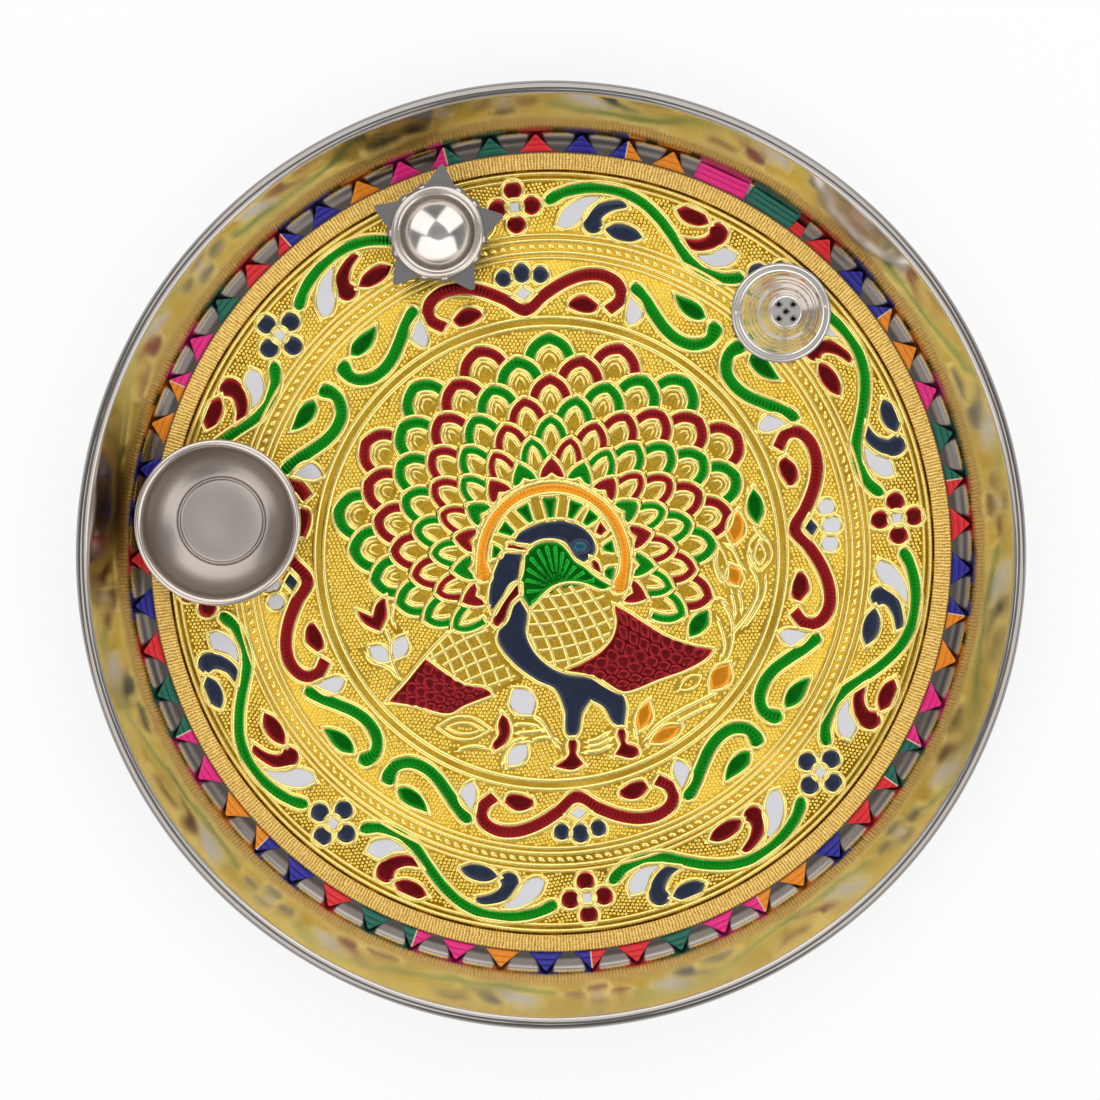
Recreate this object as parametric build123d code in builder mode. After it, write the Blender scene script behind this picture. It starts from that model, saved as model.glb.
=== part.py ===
from build123d import *
from math import acos, cos, degrees, hypot, radians, sin, sqrt, tan
import os

# A puja thali: a rolled-rim steel tray with an enamelled peacock disc on its floor, a lace border
# and three loose vessels. Lengths are millimetres, +Z is up, the origin is the middle of the underside.

# Tray
tray_diameter = 300.0
tray_height = 25.5
tray_sheet = 0.7
wall_lean = 27.0
cove_radius = 6.0
rim_roll_radius = 2.25
rim_roll_facets = 8

# Foil disc and enamel
foil_thickness = 0.3
enamel_height = 0.25
pattern_turn = 6.0
stroke_width = 3.0
bracket_width = 3.7
scroll_width = 3.5
halo_width = 2.6
stroke_end_share = 0.55

# Lace border
braid_width = 5.4
braid_thickness = 1.0
braid_lap = 1.6
braid_cove_gap = 1.2
point_count = 54
point_pitch = 6.33
point_first_angle = 48.6
point_base = 11.0
point_length = 6.1
ribbon_thickness = 0.35
ribbon_lift = 0.25
lace_gap = 0.3
flap_angles = (65.5, 57.5)
flap_width = 17.6
flap_length = 5.0

# Vessels: each stands on the enamel, inside the braid
rest_gap = 0.25

katori_angle = 174.1
katori_border_gap = 2.4
katori_rim_radius = 26.5
katori_base_radius = 14.6
katori_height = 15.5
katori_sheet = 0.7
katori_lip_width = 1.7
katori_lip_height = 1.5
katori_ring_width = 1.0
katori_ring_height = 0.5

diya_angle = 109.3
diya_border_gap = 8.3
diya_base_radius = 6.0
diya_mouth_radius = 12.4
diya_lip_radius = 14.8
diya_height = 12.0
diya_sheet = 0.6
diya_lip_height = 1.8
diya_fit_gap = 0.1
petal_count = 5
petal_first_angle = 14.0
petal_tip_radius = 22.4
petal_root_width = 11.5
petal_tip_rounding = 1.0
tab_radius = 16.3
tab_notch = 1.3
tab_half_angle = 23.0
collar_sheet = 0.6

incense_angle = 46.5
incense_border_gap = 0.4
incense_base_radius = 16.0
incense_flange_radius = 15.6
incense_dome_radius = 13.1
incense_height = 25.0
incense_sheet = 0.6
incense_top_radius = 4.9
stick_hole_radius = 0.95
stick_hole_circle_radius = 3.2
stick_hole_count = 4
stick_hole_turn = 45.0

cut_overrun = 1.0

# Shares of the foil's radius at which the ornament's rings and bands stand
medallion_share = 0.586
inner_band_shares = (0.610, 0.774)
outer_band_shares = (0.815, 0.976)

# Values that follow from the sizes
tray_radius = tray_diameter / 2
lean = radians(wall_lean)
wall_up = Vector(sin(lean), cos(lean))
wall_in = Vector(-cos(lean), sin(lean))
rim_centre = Vector(tray_radius - rim_roll_radius, tray_height - rim_roll_radius)
wall_top = rim_centre + wall_in * rim_roll_radius
floor_corner = Vector(wall_top.X - (wall_top.Y - tray_sheet) * tan(lean), tray_sheet)
cove_reach = cove_radius * tan((radians(90) - lean) / 2)
floor_radius = floor_corner.X - cove_reach
cove_centre = Vector(floor_radius, tray_sheet + cove_radius)

braid_outer_radius = floor_radius - braid_cove_gap
braid_inner_radius = braid_outer_radius - braid_width
foil_radius = braid_inner_radius + braid_lap
foil_top = tray_sheet + foil_thickness
vessel_rest = foil_top + enamel_height + rest_gap

medallion_radius = foil_radius * medallion_share
inner_band = [foil_radius * share for share in inner_band_shares]
outer_band = [foil_radius * share for share in outer_band_shares]


# Outline helpers


def polar(radius, angle):
    return (radius * cos(radians(angle)), radius * sin(radians(angle)))


def band_points(shares, band, pitch):
    """Points of a band: x runs clockwise over one pitch, y from the inner to the outer circle."""
    inner, outer = band
    return [polar(inner + y * (outer - inner), -x * pitch) for x, y in shares]


def medallion_points(shares):
    return [(x * medallion_radius, y * medallion_radius) for x, y in shares]


def oval_shares(centre, halves, sides):
    (cx, cy), (hx, hy) = centre, halves
    turns = [radians(360 * step / sides) for step in range(sides)]
    return [(cx + hx * cos(turn), cy + hy * sin(turn)) for turn in turns]


def leaf_shares(base, tip, half_width):
    """A pointed leaf between two points, widest in its middle third."""
    (x0, y0), (x1, y1) = base, tip
    run = hypot(x1 - x0, y1 - y0)
    nx, ny = (y0 - y1) / run * half_width, (x1 - x0) / run * half_width
    third, far = ((x0 * (1 - t) + x1 * t, y0 * (1 - t) + y1 * t) for t in (1 / 3, 2 / 3))
    left = [(third[0] + nx, third[1] + ny), (far[0] + nx, far[1] + ny)]
    right = [(far[0] - nx, far[1] - ny), (third[0] - nx, third[1] - ny)]
    return [base, *left, tip, *right]


def stroke(path, width, start_share, end_share):
    """Outline of a brush stroke along a path, narrowed at its ends."""
    left, right = [], []
    last = len(path) - 1
    for index, (x, y) in enumerate(path):
        x0, y0 = path[max(index - 1, 0)]
        x1, y1 = path[min(index + 1, last)]
        run = hypot(x1 - x0, y1 - y0)
        share = start_share if index == 0 else end_share if index == last else 1
        half = width * share / 2
        nx, ny = (y0 - y1) / run * half, (x1 - x0) / run * half
        left.append((x + nx, y + ny))
        right.append((x - nx, y - ny))
    return left + right[::-1]


def mirrored(shares):
    return [(-x, y) for x, y in reversed(shares)]


# Outer band: eight equal units, each from one flower clockwise to the next

unit_count = 8
unit_pitch = 360 / unit_count
vine_shares = (
    (0.115, 0.56), (0.18, 0.71), (0.27, 0.81), (0.36, 0.83), (0.45, 0.74), (0.53, 0.56),
    (0.61, 0.33), (0.69, 0.12), (0.77, 0.065), (0.84, 0.12), (0.905, 0.31),
)
left_leaf_shares = (
    (0.312, 0.70), (0.245, 0.64), (0.175, 0.40), (0.156, 0.19),
    (0.190, 0.145), (0.245, 0.29), (0.280, 0.54),
)
left_hook_shares = (
    (0.408, 0.60), (0.395, 0.67), (0.345, 0.645), (0.285, 0.50), (0.258, 0.26),
    (0.272, 0.13), (0.308, 0.11), (0.331, 0.20), (0.322, 0.33), (0.352, 0.485),
)
left_blob_shares = oval_shares((0.416, 0.195), (0.076, 0.122), 6)
right_blob_shares = oval_shares((0.638, 0.785), (0.062, 0.125), 6)
right_hook_shares = (
    (0.731, 0.86), (0.766, 0.82), (0.778, 0.67), (0.755, 0.47), (0.685, 0.295),
    (0.648, 0.36), (0.632, 0.395), (0.688, 0.475), (0.715, 0.62), (0.710, 0.77),
)
right_leaf_shares = (
    (0.785, 0.55), (0.840, 0.57), (0.842, 0.42), (0.80, 0.235),
    (0.760, 0.185), (0.708, 0.24), (0.755, 0.36),
)
petal_reach_share = 0.272
petal_radius_share = 0.145
flower_eye_share = 0.108
flower_petals = 4
petal_sides = 6

vine_path = band_points(vine_shares, outer_band, unit_pitch)
vine = stroke(vine_path, stroke_width, stroke_end_share, stroke_end_share)
left_leaf, left_hook, left_blob, right_blob, right_hook, right_leaf = (
    band_points(shares, outer_band, unit_pitch)
    for shares in (
        left_leaf_shares, left_hook_shares, left_blob_shares,
        right_blob_shares, right_hook_shares, right_leaf_shares,
    )
)
outer_width = outer_band[1] - outer_band[0]
flower_radius = (outer_band[0] + outer_band[1]) / 2
flower_petal = [
    (x + outer_width * petal_reach_share, y)
    for x, y in (polar(outer_width * petal_radius_share, 360 * n / petal_sides) for n in range(petal_sides))
]
flower_eye = [polar(outer_width * flower_eye_share, 360 * n / petal_sides) for n in range(petal_sides)]

# Inner band: four brackets with scrolls between them, each mirrored about its own axis

bracket_count = 4
bracket_pitch = 360 / bracket_count
bracket_arm_shares = (
    (0.05, 0.35), (0.10, 0.56), (0.145, 0.69), (0.19, 0.72),
    (0.224, 0.62), (0.235, 0.43), (0.212, 0.205),
)
bracket_root_shares = ((0.0, 0.13),)
bracket_leaf_shares = (
    (0.150, 0.365), (0.113, 0.25), (0.113, 0.16), (0.150, 0.105), (0.180, 0.15), (0.185, 0.27),
)
bud_centre_shares = oval_shares((0.0, 0.71), (0.019, 0.15), 6)
bud_side_shares = oval_shares((0.042, 0.665), (0.018, 0.13), 6)
diamond_shares = ((0.0, 0.49), (0.024, 0.38), (0.0, 0.28), (-0.024, 0.38))
white_leaf_shares = (
    (0.253, 0.53), (0.285, 0.43), (0.298, 0.29), (0.290, 0.15),
    (0.279, 0.08), (0.265, 0.15), (0.258, 0.30),
)
scroll_shares = (
    (0.255, 0.69), (0.288, 0.55), (0.328, 0.37), (0.368, 0.235), (0.410, 0.19), (0.449, 0.26),
    (0.471, 0.46), (0.463, 0.71),
)
scroll_leaf_shares = (
    (0.350, 0.80), (0.363, 0.69), (0.392, 0.59), (0.424, 0.62), (0.435, 0.71), (0.412, 0.82),
)

bracket_path = mirrored(bracket_arm_shares) + list(bracket_root_shares) + list(bracket_arm_shares)
bracket = stroke(band_points(bracket_path, inner_band, bracket_pitch), bracket_width, 1, 1)


def both_sides(shares):
    """A band outline and its mirror image about the bracket's axis."""
    return [band_points(side, inner_band, bracket_pitch) for side in (shares, mirrored(shares))]


scroll_paths = both_sides(scroll_shares)
scrolls = [stroke(scroll_paths[0], scroll_width, stroke_end_share, 1)]
scrolls.append(stroke(scroll_paths[1], scroll_width, 1, stroke_end_share))
bracket_leaves, bud_sides, white_leaves, scroll_leaves = (
    both_sides(shares)
    for shares in (bracket_leaf_shares, bud_side_shares, white_leaf_shares, scroll_leaf_shares)
)
bud_centre = band_points(bud_centre_shares, inner_band, bracket_pitch)
diamond = band_points(diamond_shares, inner_band, bracket_pitch)

# Peacock: the tail is a fan of pointed arches in staggered rows, coloured by chain

fan_centre_shares = (0.011, -0.020)
first_row_share = 0.446
row_pitch_share = 0.0907
chain_pitch = 19.04
first_chain_angle = 205.4
first_chain = -1
chain_rows = ((2, 7), *((1, 7),) * 7, (1, 6), (1, 5), (1, 4), (1, 4), (1, 3), (1, 1))
row_count = 7
arch_spread_shares = (0.86, 0.74)
arch_shares = ((-1.0, 1.0), (0.0, 0.0), (1.0, 1.0), (0.66, 1.2), (0.0, 0.46), (-0.66, 1.2))
bud_arch_shares = ((-1.0, 0.95), (0.0, 0.0), (1.0, 0.95), (0.50, 0.92), (0.0, 0.72), (-0.50, 0.92))
halo_radius_share = 0.315
halo_ends = (-27.0, 197.0)
halo_steps = 13
ray_angles = (173.0, 148.0, 121.0, 94.0, 68.0, 48.0, 12.0, -14.0)
ray_inner_shares = (0.235, 0.205, 0.190, 0.180, 0.190, 0.205, 0.225, 0.235)
ray_outer_share = 0.272
ray_half_angle = 6.4

neck_shares = (
    (0.145, -0.035), (0.185, 0.0), (0.192, 0.045), (0.160, 0.100), (0.092, 0.140),
    (0.02, 0.148), (-0.06, 0.132), (-0.135, 0.096), (-0.175, 0.063), (-0.105, 0.044),
    (-0.05, 0.064), (0.01, 0.070), (0.06, 0.056), (0.088, 0.025), (0.113, -0.015),
)
upper_collar_shares = ((-0.188, 0.043), (-0.112, 0.034), (-0.115, 0.016), (-0.198, 0.020))
breast_shares = (
    (-0.205, 0.008), (-0.128, 0.004), (-0.139, -0.09), (-0.175, -0.140), (-0.215, -0.195),
    (-0.255, -0.262), (-0.272, -0.20), (-0.262, -0.12), (-0.238, -0.05),
)
lower_collar_shares = (
    (-0.160, -0.132), (-0.135, -0.135), (-0.138, -0.175), (-0.175, -0.215),
    (-0.205, -0.290), (-0.238, -0.320), (-0.255, -0.300), (-0.205, -0.195),
)
body_shares = (
    (-0.138, -0.195), (-0.108, -0.245), (-0.112, -0.345), (-0.075, -0.43), (0.0, -0.50),
    (0.06, -0.528), (0.19, -0.550), (0.29, -0.612), (0.318, -0.625), (0.322, -0.755),
    (0.285, -0.750), (0.235, -0.675), (0.175, -0.640), (0.140, -0.690), (0.105, -0.80),
    (0.080, -0.80), (0.060, -0.68), (0.02, -0.595), (-0.06, -0.555), (-0.165, -0.475),
    (-0.232, -0.375), (-0.230, -0.340), (-0.195, -0.300), (-0.165, -0.220),
)
left_foot_shares = (
    (0.083, -0.818), (0.108, -0.818), (0.112, -0.880), (0.145, -0.925),
    (0.100, -0.950), (0.015, -0.938), (0.078, -0.885),
)
right_foot_shares = (
    (0.298, -0.772), (0.322, -0.772), (0.330, -0.830), (0.385, -0.860),
    (0.375, -0.892), (0.280, -0.885), (0.306, -0.840),
)
mantle_shares = (
    (0.005, 0.055), (0.045, 0.043), (0.075, 0.010), (0.105, -0.030), (0.145, -0.055),
    (0.195, -0.098), (0.262, -0.138), (0.235, -0.152), (0.14, -0.122), (0.07, -0.118),
    (0.0, -0.142), (-0.06, -0.195), (-0.098, -0.235), (-0.122, -0.190), (-0.125, -0.06),
    (-0.105, 0.005), (-0.055, 0.047),
)
wing_shares = (
    (0.280, -0.225), (0.335, -0.255), (0.42, -0.310), (0.52, -0.370), (0.62, -0.405),
    (0.712, -0.420), (0.685, -0.455), (0.60, -0.505), (0.47, -0.552), (0.36, -0.597),
    (0.315, -0.604), (0.24, -0.570), (0.185, -0.535), (0.065, -0.513), (0.15, -0.475),
    (0.225, -0.425), (0.275, -0.360), (0.290, -0.290),
)
skirt_shares = (
    (-0.555, -0.460), (-0.48, -0.515), (-0.39, -0.575), (-0.27, -0.605), (-0.262, -0.620),
    (-0.385, -0.668), (-0.445, -0.700), (-0.60, -0.665), (-0.715, -0.650), (-0.62, -0.540),
)
heart_leaf_shares = (
    (-0.855, -0.245), (-0.785, -0.275), (-0.765, -0.215), (-0.730, -0.190),
    (-0.725, -0.270), (-0.757, -0.338), (-0.82, -0.305),
)
crook_leaf_shares = (
    (-0.215, -0.705), (-0.190, -0.730), (-0.182, -0.785), (-0.205, -0.835),
    (-0.245, -0.865), (-0.258, -0.845), (-0.230, -0.795), (-0.232, -0.745),
)
crest_shares = ((0.216, 0.146), (0.244, 0.108), (0.220, 0.082), (0.196, 0.096))
wattle_shares = ((0.178, -0.018), (0.205, -0.035), (0.222, -0.085), (0.188, -0.060))
white_sprig_shares = (
    ((-0.80, -0.408), (-0.705, -0.468), 0.031),
    ((-0.640, -0.358), (-0.690, -0.462), 0.032),
    ((-0.165, -0.592), (-0.085, -0.708), 0.050),
    ((-0.105, -0.838), (-0.188, -0.932), 0.034),
)
orange_sprig_shares = (
    ((0.432, -0.648), (0.388, -0.778), 0.028),
    ((0.575, -0.757), (0.435, -0.832), 0.027),
    ((0.785, -0.482), (0.708, -0.598), 0.038),
    ((0.822, 0.192), (0.805, 0.045), 0.032),
    ((0.785, -0.048), (0.825, -0.138), 0.030),
)
green_sprig_shares = (
    ((0.888, 0.292), (0.906, 0.132), 0.031),
    ((0.692, -0.245), (0.608, -0.365), 0.032),
)


def fan_point(radius_share, angle):
    x, y = polar(radius_share, angle)
    return (x + fan_centre_shares[0], y + fan_centre_shares[1])


def tail_scale(chain, row):
    """One pointed arch of the tail, set by its chain and its row."""
    angle = first_chain_angle - chain_pitch * (chain + (row - 1) / 2)
    apex_share = first_row_share + row_pitch_share * (row - 1)
    near, far = arch_spread_shares
    spread = chain_pitch / 2 * (near + (far - near) * (row - 1) / (row_count - 1))
    shares = bud_arch_shares if row == 1 else arch_shares
    return medallion_points(
        fan_point(apex_share - y * row_pitch_share, angle + x * spread) for x, y in shares
    )


def tail_scales(parity):
    chains = enumerate(chain_rows, start=first_chain)
    picked = [(chain, rows) for chain, rows in chains if chain % 2 == parity]
    return [tail_scale(chain, row) for chain, (first, last) in picked for row in range(first, last + 1)]


def ray(angle, inner_share):
    edges = ((inner_share, -1 / 2), (ray_outer_share, -1), (ray_outer_share, 1), (inner_share, 1 / 2))
    return medallion_points(fan_point(share, angle + side * ray_half_angle) for share, side in edges)


def sprigs(places):
    return [medallion_points(leaf_shares(*place)) for place in places]


halo_turn = (halo_ends[1] - halo_ends[0]) / halo_steps
halo_path = medallion_points(
    fan_point(halo_radius_share, halo_ends[0] + halo_turn * n) for n in range(halo_steps + 1)
)
halo = stroke(halo_path, halo_width, 1, 1)
rays = [ray(angle, inner_share) for angle, inner_share in zip(ray_angles, ray_inner_shares)]


def lay(outlines, count=1, start=0.0):
    """Fills closed outlines in the current sketch, repeated about the centre."""
    with PolarLocations(0, count, start_angle=start + pattern_turn if count > 1 else 0):
        for outline in outlines:
            Polygon(*outline, align=None)


def lay_flowers(outline, count, start, petals):
    for n in range(count):
        middle = polar(flower_radius, pattern_turn + start + 360 * n / count)
        with Locations(middle):
            with PolarLocations(0, petals, start_angle=pattern_turn + start):
                Polygon(*outline, align=None)


# Tray: floor, cove, wall and rolled rim turned from one sheet

roll_start = 180 - wall_lean
roll_gap = degrees(acos((rim_roll_radius - tray_sheet) / rim_roll_radius))
cove_inner_end = floor_corner + wall_up * cove_reach
cove_middle = Vector(sin((radians(90) - lean) / 2), -cos((radians(90) - lean) / 2))
roll_turn = (360 - roll_gap) / rim_roll_facets
roll_points = [
    rim_centre + Vector(*polar(rim_roll_radius, roll_start + roll_gap + roll_turn * n))
    for n in range(rim_roll_facets + 1)
]

with BuildPart() as plate:
    with BuildSketch(Plane.XZ):
        with BuildLine():
            Polyline((0, tray_sheet), (0, 0), (floor_radius, 0))
            ThreePointArc(
                (floor_radius, 0),
                cove_centre + cove_middle * (cove_radius + tray_sheet),
                cove_inner_end - wall_in * tray_sheet,
            )
            Polyline(cove_inner_end - wall_in * tray_sheet, *roll_points, cove_inner_end)
            ThreePointArc(
                cove_inner_end,
                cove_centre + cove_middle * cove_radius,
                (floor_radius, tray_sheet),
            )
            Line((floor_radius, tray_sheet), (0, tray_sheet))
        make_face()
    revolve(axis=Axis.Z)
plate.part.label = "plate"

# Foil disc glued to the floor

with BuildPart() as foil_disc:
    with BuildSketch(Plane.XY.offset(tray_sheet)):
        Circle(foil_radius)
    extrude(amount=foil_thickness)
foil_disc.part.label = "foil_disc"

# Enamel: thin fields of one colour each, laid on the foil

enamel_plane = Plane.XY.offset(foil_top)
half_count = unit_count // 2
half_turn = unit_pitch
bracket_pairs = bracket_count // 2

with BuildPart() as enamel_green:
    with BuildSketch(enamel_plane):
        lay([vine], unit_count)
        lay(scrolls + scroll_leaves, bracket_count)
        lay(tail_scales(1) + rays + sprigs(green_sprig_shares))
        lay([medallion_points(mantle_shares)])
    extrude(amount=enamel_height)
enamel_green.part.label = "enamel_green"

with BuildPart() as enamel_maroon:
    with BuildSketch(enamel_plane):
        lay_flowers(flower_petal, half_count, 0, flower_petals)
        lay([right_blob, right_hook], half_count)
        lay([left_blob, left_hook], half_count, half_turn)
        lay([bracket] + bracket_leaves, bracket_count)
        lay(tail_scales(0))
        lay(
            medallion_points(shares)
            for shares in (
                upper_collar_shares, lower_collar_shares, wing_shares, skirt_shares, left_foot_shares,
                right_foot_shares, heart_leaf_shares, crook_leaf_shares, crest_shares, wattle_shares,
            )
        )
    extrude(amount=enamel_height)
enamel_maroon.part.label = "enamel_maroon"

with BuildPart() as enamel_navy:
    with BuildSketch(enamel_plane):
        lay_flowers(flower_petal, half_count, half_turn, flower_petals)
        lay([left_blob, left_hook], half_count)
        lay([right_blob, right_hook], half_count, half_turn)
        lay([diamond], bracket_pairs)
        lay([bud_centre] + bud_sides, bracket_pairs, bracket_pitch)
        lay(medallion_points(shares) for shares in (neck_shares, breast_shares, body_shares))
    extrude(amount=enamel_height)
enamel_navy.part.label = "enamel_navy"

with BuildPart() as enamel_white:
    with BuildSketch(enamel_plane):
        lay_flowers(flower_eye, unit_count, 0, 1)
        lay([left_leaf, right_leaf], unit_count)
        lay(white_leaves, bracket_count)
        lay([bud_centre] + bud_sides, bracket_pairs)
        lay([diamond], bracket_pairs, bracket_pitch)
        lay(sprigs(white_sprig_shares))
    extrude(amount=enamel_height)
enamel_white.part.label = "enamel_white"

with BuildPart() as enamel_orange:
    with BuildSketch(enamel_plane):
        lay([halo] + sprigs(orange_sprig_shares))
    extrude(amount=enamel_height)
enamel_orange.part.label = "enamel_orange"

# Lace: a braid over the foil's edge, and ribbon points that rise along the cove

with BuildPart() as lace_braid:
    with BuildSketch(Plane.XY.offset(foil_top)):
        Circle(braid_outer_radius)
        Circle(braid_inner_radius, mode=Mode.SUBTRACT)
    extrude(amount=braid_thickness)
lace_braid.part.label = "lace_braid"


def tray_surface(radius):
    """Height of the tray's inner surface at a radius."""
    if radius <= floor_radius:
        return tray_sheet
    if radius <= cove_inner_end.X:
        return cove_centre.Y - sqrt(cove_radius**2 - (radius - floor_radius) ** 2)
    return cove_inner_end.Y + (radius - cove_inner_end.X) / tan(lean)


def ribbon_plane(angle, length, tip_width):
    """Plane of a ribbon piece: x runs outward from the braid and up, to just clear of the tray."""
    root_radius = braid_outer_radius + lace_gap
    root_height = tray_sheet + ribbon_lift
    tip_radius = hypot(root_radius + length, tip_width / 2)
    rise = tray_surface(tip_radius) + ribbon_lift - root_height
    root = (*polar(root_radius, angle), root_height)
    outward = (*polar(length, angle), rise)
    across = (*polar(1, angle + 90), 0)
    return Plane(origin=root, x_dir=outward, z_dir=Vector(outward).cross(Vector(across)))


point_angles = [point_first_angle - point_pitch * n for n in range(point_count)]

with BuildPart() as lace_points:
    with BuildSketch(*[ribbon_plane(angle, point_length, 0) for angle in point_angles]):
        Polygon((0, -point_base / 2), (point_length, 0), (0, point_base / 2), align=None)
    extrude(amount=ribbon_thickness)
lace_points.part.label = "lace_points"

with BuildPart() as lace_flaps:
    with BuildSketch(*[ribbon_plane(angle, flap_length, flap_width) for angle in flap_angles]):
        Rectangle(flap_length, flap_width, align=(Align.MIN, Align.CENTER))
    extrude(amount=ribbon_thickness)
lace_flaps.part.label = "lace_flaps"


def vessel_place(base_radius, border_gap, angle):
    """Middle of a vessel's underside: it stands just inside the braid."""
    return (*polar(braid_inner_radius - border_gap - base_radius, angle), vessel_rest)


# Katori: a small bowl with a pressed ring round its floor and a thick lip

katori_place = vessel_place(katori_base_radius, katori_border_gap, katori_angle)
katori_side = Plane(origin=katori_place, x_dir=(1, 0, 0), z_dir=(0, -1, 0))
katori_neck = katori_rim_radius - katori_lip_width
katori_lip_base = katori_height - katori_lip_height
katori_bulge_share = 0.62
katori_sag_share = 0.36


def katori_wall(inset):
    """Base, belly and neck points of the bowl's wall, moved inward by an inset."""
    base = (katori_base_radius - inset / 2, inset)
    belly_x = katori_base_radius + (katori_neck - katori_base_radius) * katori_bulge_share
    belly = (belly_x - inset, katori_lip_base * katori_sag_share + inset / 2)
    neck = (katori_neck - inset, katori_lip_base)
    return base, belly, neck


with BuildPart() as katori:
    with BuildSketch(katori_side):
        outer_base, outer_belly, outer_neck = katori_wall(0)
        inner_base, inner_belly, inner_neck = katori_wall(katori_sheet)
        ring_inner = inner_base[0] - katori_ring_width
        ring_top = katori_sheet + katori_ring_height
        with BuildLine():
            Polyline((0, katori_sheet), (0, 0), outer_base)
            ThreePointArc(outer_base, outer_belly, outer_neck)
            Polyline(
                outer_neck,
                (katori_rim_radius, katori_lip_base + katori_lip_height / 3),
                (katori_rim_radius, katori_height - katori_lip_height / 3),
                (katori_rim_radius - katori_lip_width / 2, katori_height),
                (katori_neck, katori_height - katori_lip_height / 3),
                inner_neck,
            )
            ThreePointArc(inner_neck, inner_belly, inner_base)
            Polyline(
                inner_base,
                ((inner_base[0] + ring_inner) / 2, ring_top),
                (ring_inner, katori_sheet),
                (0, katori_sheet),
            )
        make_face()
    revolve(axis=Axis(katori_place, (0, 0, 1)))
katori.part.label = "katori"

# Diya: a polished oil cup whose lip sits on a star-shaped collar

diya_place = vessel_place(diya_base_radius, diya_border_gap, diya_angle)
diya_side = Plane(origin=diya_place, x_dir=(1, 0, 0), z_dir=(0, -1, 0))
diya_lip_base = diya_height - diya_lip_height
diya_neck_radius = diya_mouth_radius + diya_sheet
cup_belly_share = 0.69
cup_sag_share = 0.27
cup_heel_share = 0.87
cup_heel_height_share = 0.30

with BuildPart() as diya_cup:
    with BuildSketch(diya_side):
        cup_belly_x = diya_neck_radius * cup_belly_share
        cup_belly_y = diya_lip_base * cup_sag_share
        lip_middle = (diya_mouth_radius + diya_lip_radius) / 2
        lip_shoulder = diya_height - diya_lip_height / 3
        with BuildLine():
            Polyline(
                (0, diya_sheet),
                (0, 0),
                (diya_base_radius, 0),
                (diya_neck_radius * cup_heel_share, diya_lip_base * cup_heel_height_share),
                (diya_neck_radius, diya_lip_base),
                (diya_lip_radius, diya_lip_base),
                (diya_lip_radius, lip_shoulder),
                (lip_middle, diya_height),
                (diya_mouth_radius, diya_lip_base),
            )
            ThreePointArc(
                (diya_mouth_radius, diya_lip_base),
                (cup_belly_x, cup_belly_y),
                (diya_base_radius - diya_sheet / 2, diya_sheet),
            )
            Line((diya_base_radius - diya_sheet / 2, diya_sheet), (0, diya_sheet))
        make_face()
    revolve(axis=Axis(diya_place, (0, 0, 1)))
diya_cup.part.label = "diya_cup"

petal_turn = 360 / petal_count
tab_turn_shares = (-1, -0.6, 0, 0.6, 1)
tab_depths = (tab_notch, 0, tab_notch, 0, tab_notch)
tab_rim = [
    polar(tab_radius - depth, tab_half_angle * share) for share, depth in zip(tab_turn_shares, tab_depths)
]
tab_outline = [(0, 0), *tab_rim]
collar_plane = Plane(origin=diya_place).offset(diya_lip_base - collar_sheet)

with BuildPart() as diya_petals:
    with BuildSketch(collar_plane) as collar:
        Circle(diya_lip_radius)
        with PolarLocations(0, petal_count, start_angle=petal_first_angle):
            Polygon(
                (0, -petal_root_width / 2),
                (diya_neck_radius, -petal_root_width / 2),
                (petal_tip_radius, 0),
                (diya_neck_radius, petal_root_width / 2),
                (0, petal_root_width / 2),
                align=None,
            )
        fillet(collar.vertices().group_by(SortBy.DISTANCE)[-1], petal_tip_rounding)
        with PolarLocations(0, petal_count, start_angle=petal_first_angle + petal_turn / 2):
            Polygon(*tab_outline, align=None)
        Circle(diya_neck_radius + diya_fit_gap, mode=Mode.SUBTRACT)
    extrude(amount=collar_sheet)
diya_petals.part.label = "diya_petals"

# Incense holder: a stepped dome on a flange, welded to a flat base disc

incense_place = vessel_place(incense_base_radius, incense_border_gap, incense_angle)
incense_side = Plane(origin=incense_place, x_dir=(1, 0, 0), z_dir=(0, -1, 0))
dome_foot = 2 * incense_sheet
dome_rise = incense_height - dome_foot
step_shares = ((0.96, 0.36), (0.755, 0.62), (0.735, 0.67), (0.56, 0.83), (0.54, 0.88))
dome_steps = [(x * incense_dome_radius, dome_foot + y * dome_rise) for x, y in step_shares]
dome_shoulder = dome_steps[0]

with BuildPart() as incense_dome:
    with BuildSketch(incense_side):
        Polygon(
            (0, incense_height - incense_sheet),
            (incense_top_radius - incense_sheet, incense_height - incense_sheet),
            (dome_shoulder[0] - incense_sheet, dome_shoulder[1]),
            (incense_dome_radius - incense_sheet, incense_sheet),
            (incense_flange_radius, incense_sheet),
            (incense_flange_radius, dome_foot),
            (incense_dome_radius, dome_foot),
            *dome_steps,
            (incense_top_radius, incense_height),
            (0, incense_height),
            align=None,
        )
    revolve(axis=Axis(incense_place, (0, 0, 1)))
    with BuildSketch(Plane(origin=incense_place).offset(incense_height + cut_overrun)):
        Circle(stick_hole_radius)
        with PolarLocations(stick_hole_circle_radius, stick_hole_count, start_angle=stick_hole_turn):
            Circle(stick_hole_radius)
    extrude(amount=-(cut_overrun + dome_foot), mode=Mode.SUBTRACT)
incense_dome.part.label = "incense_dome"

with BuildPart() as incense_base:
    with BuildSketch(Plane(origin=incense_place)):
        Circle(incense_base_radius)
    extrude(amount=incense_sheet)
incense_base.part.label = "incense_base"

# Files

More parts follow.
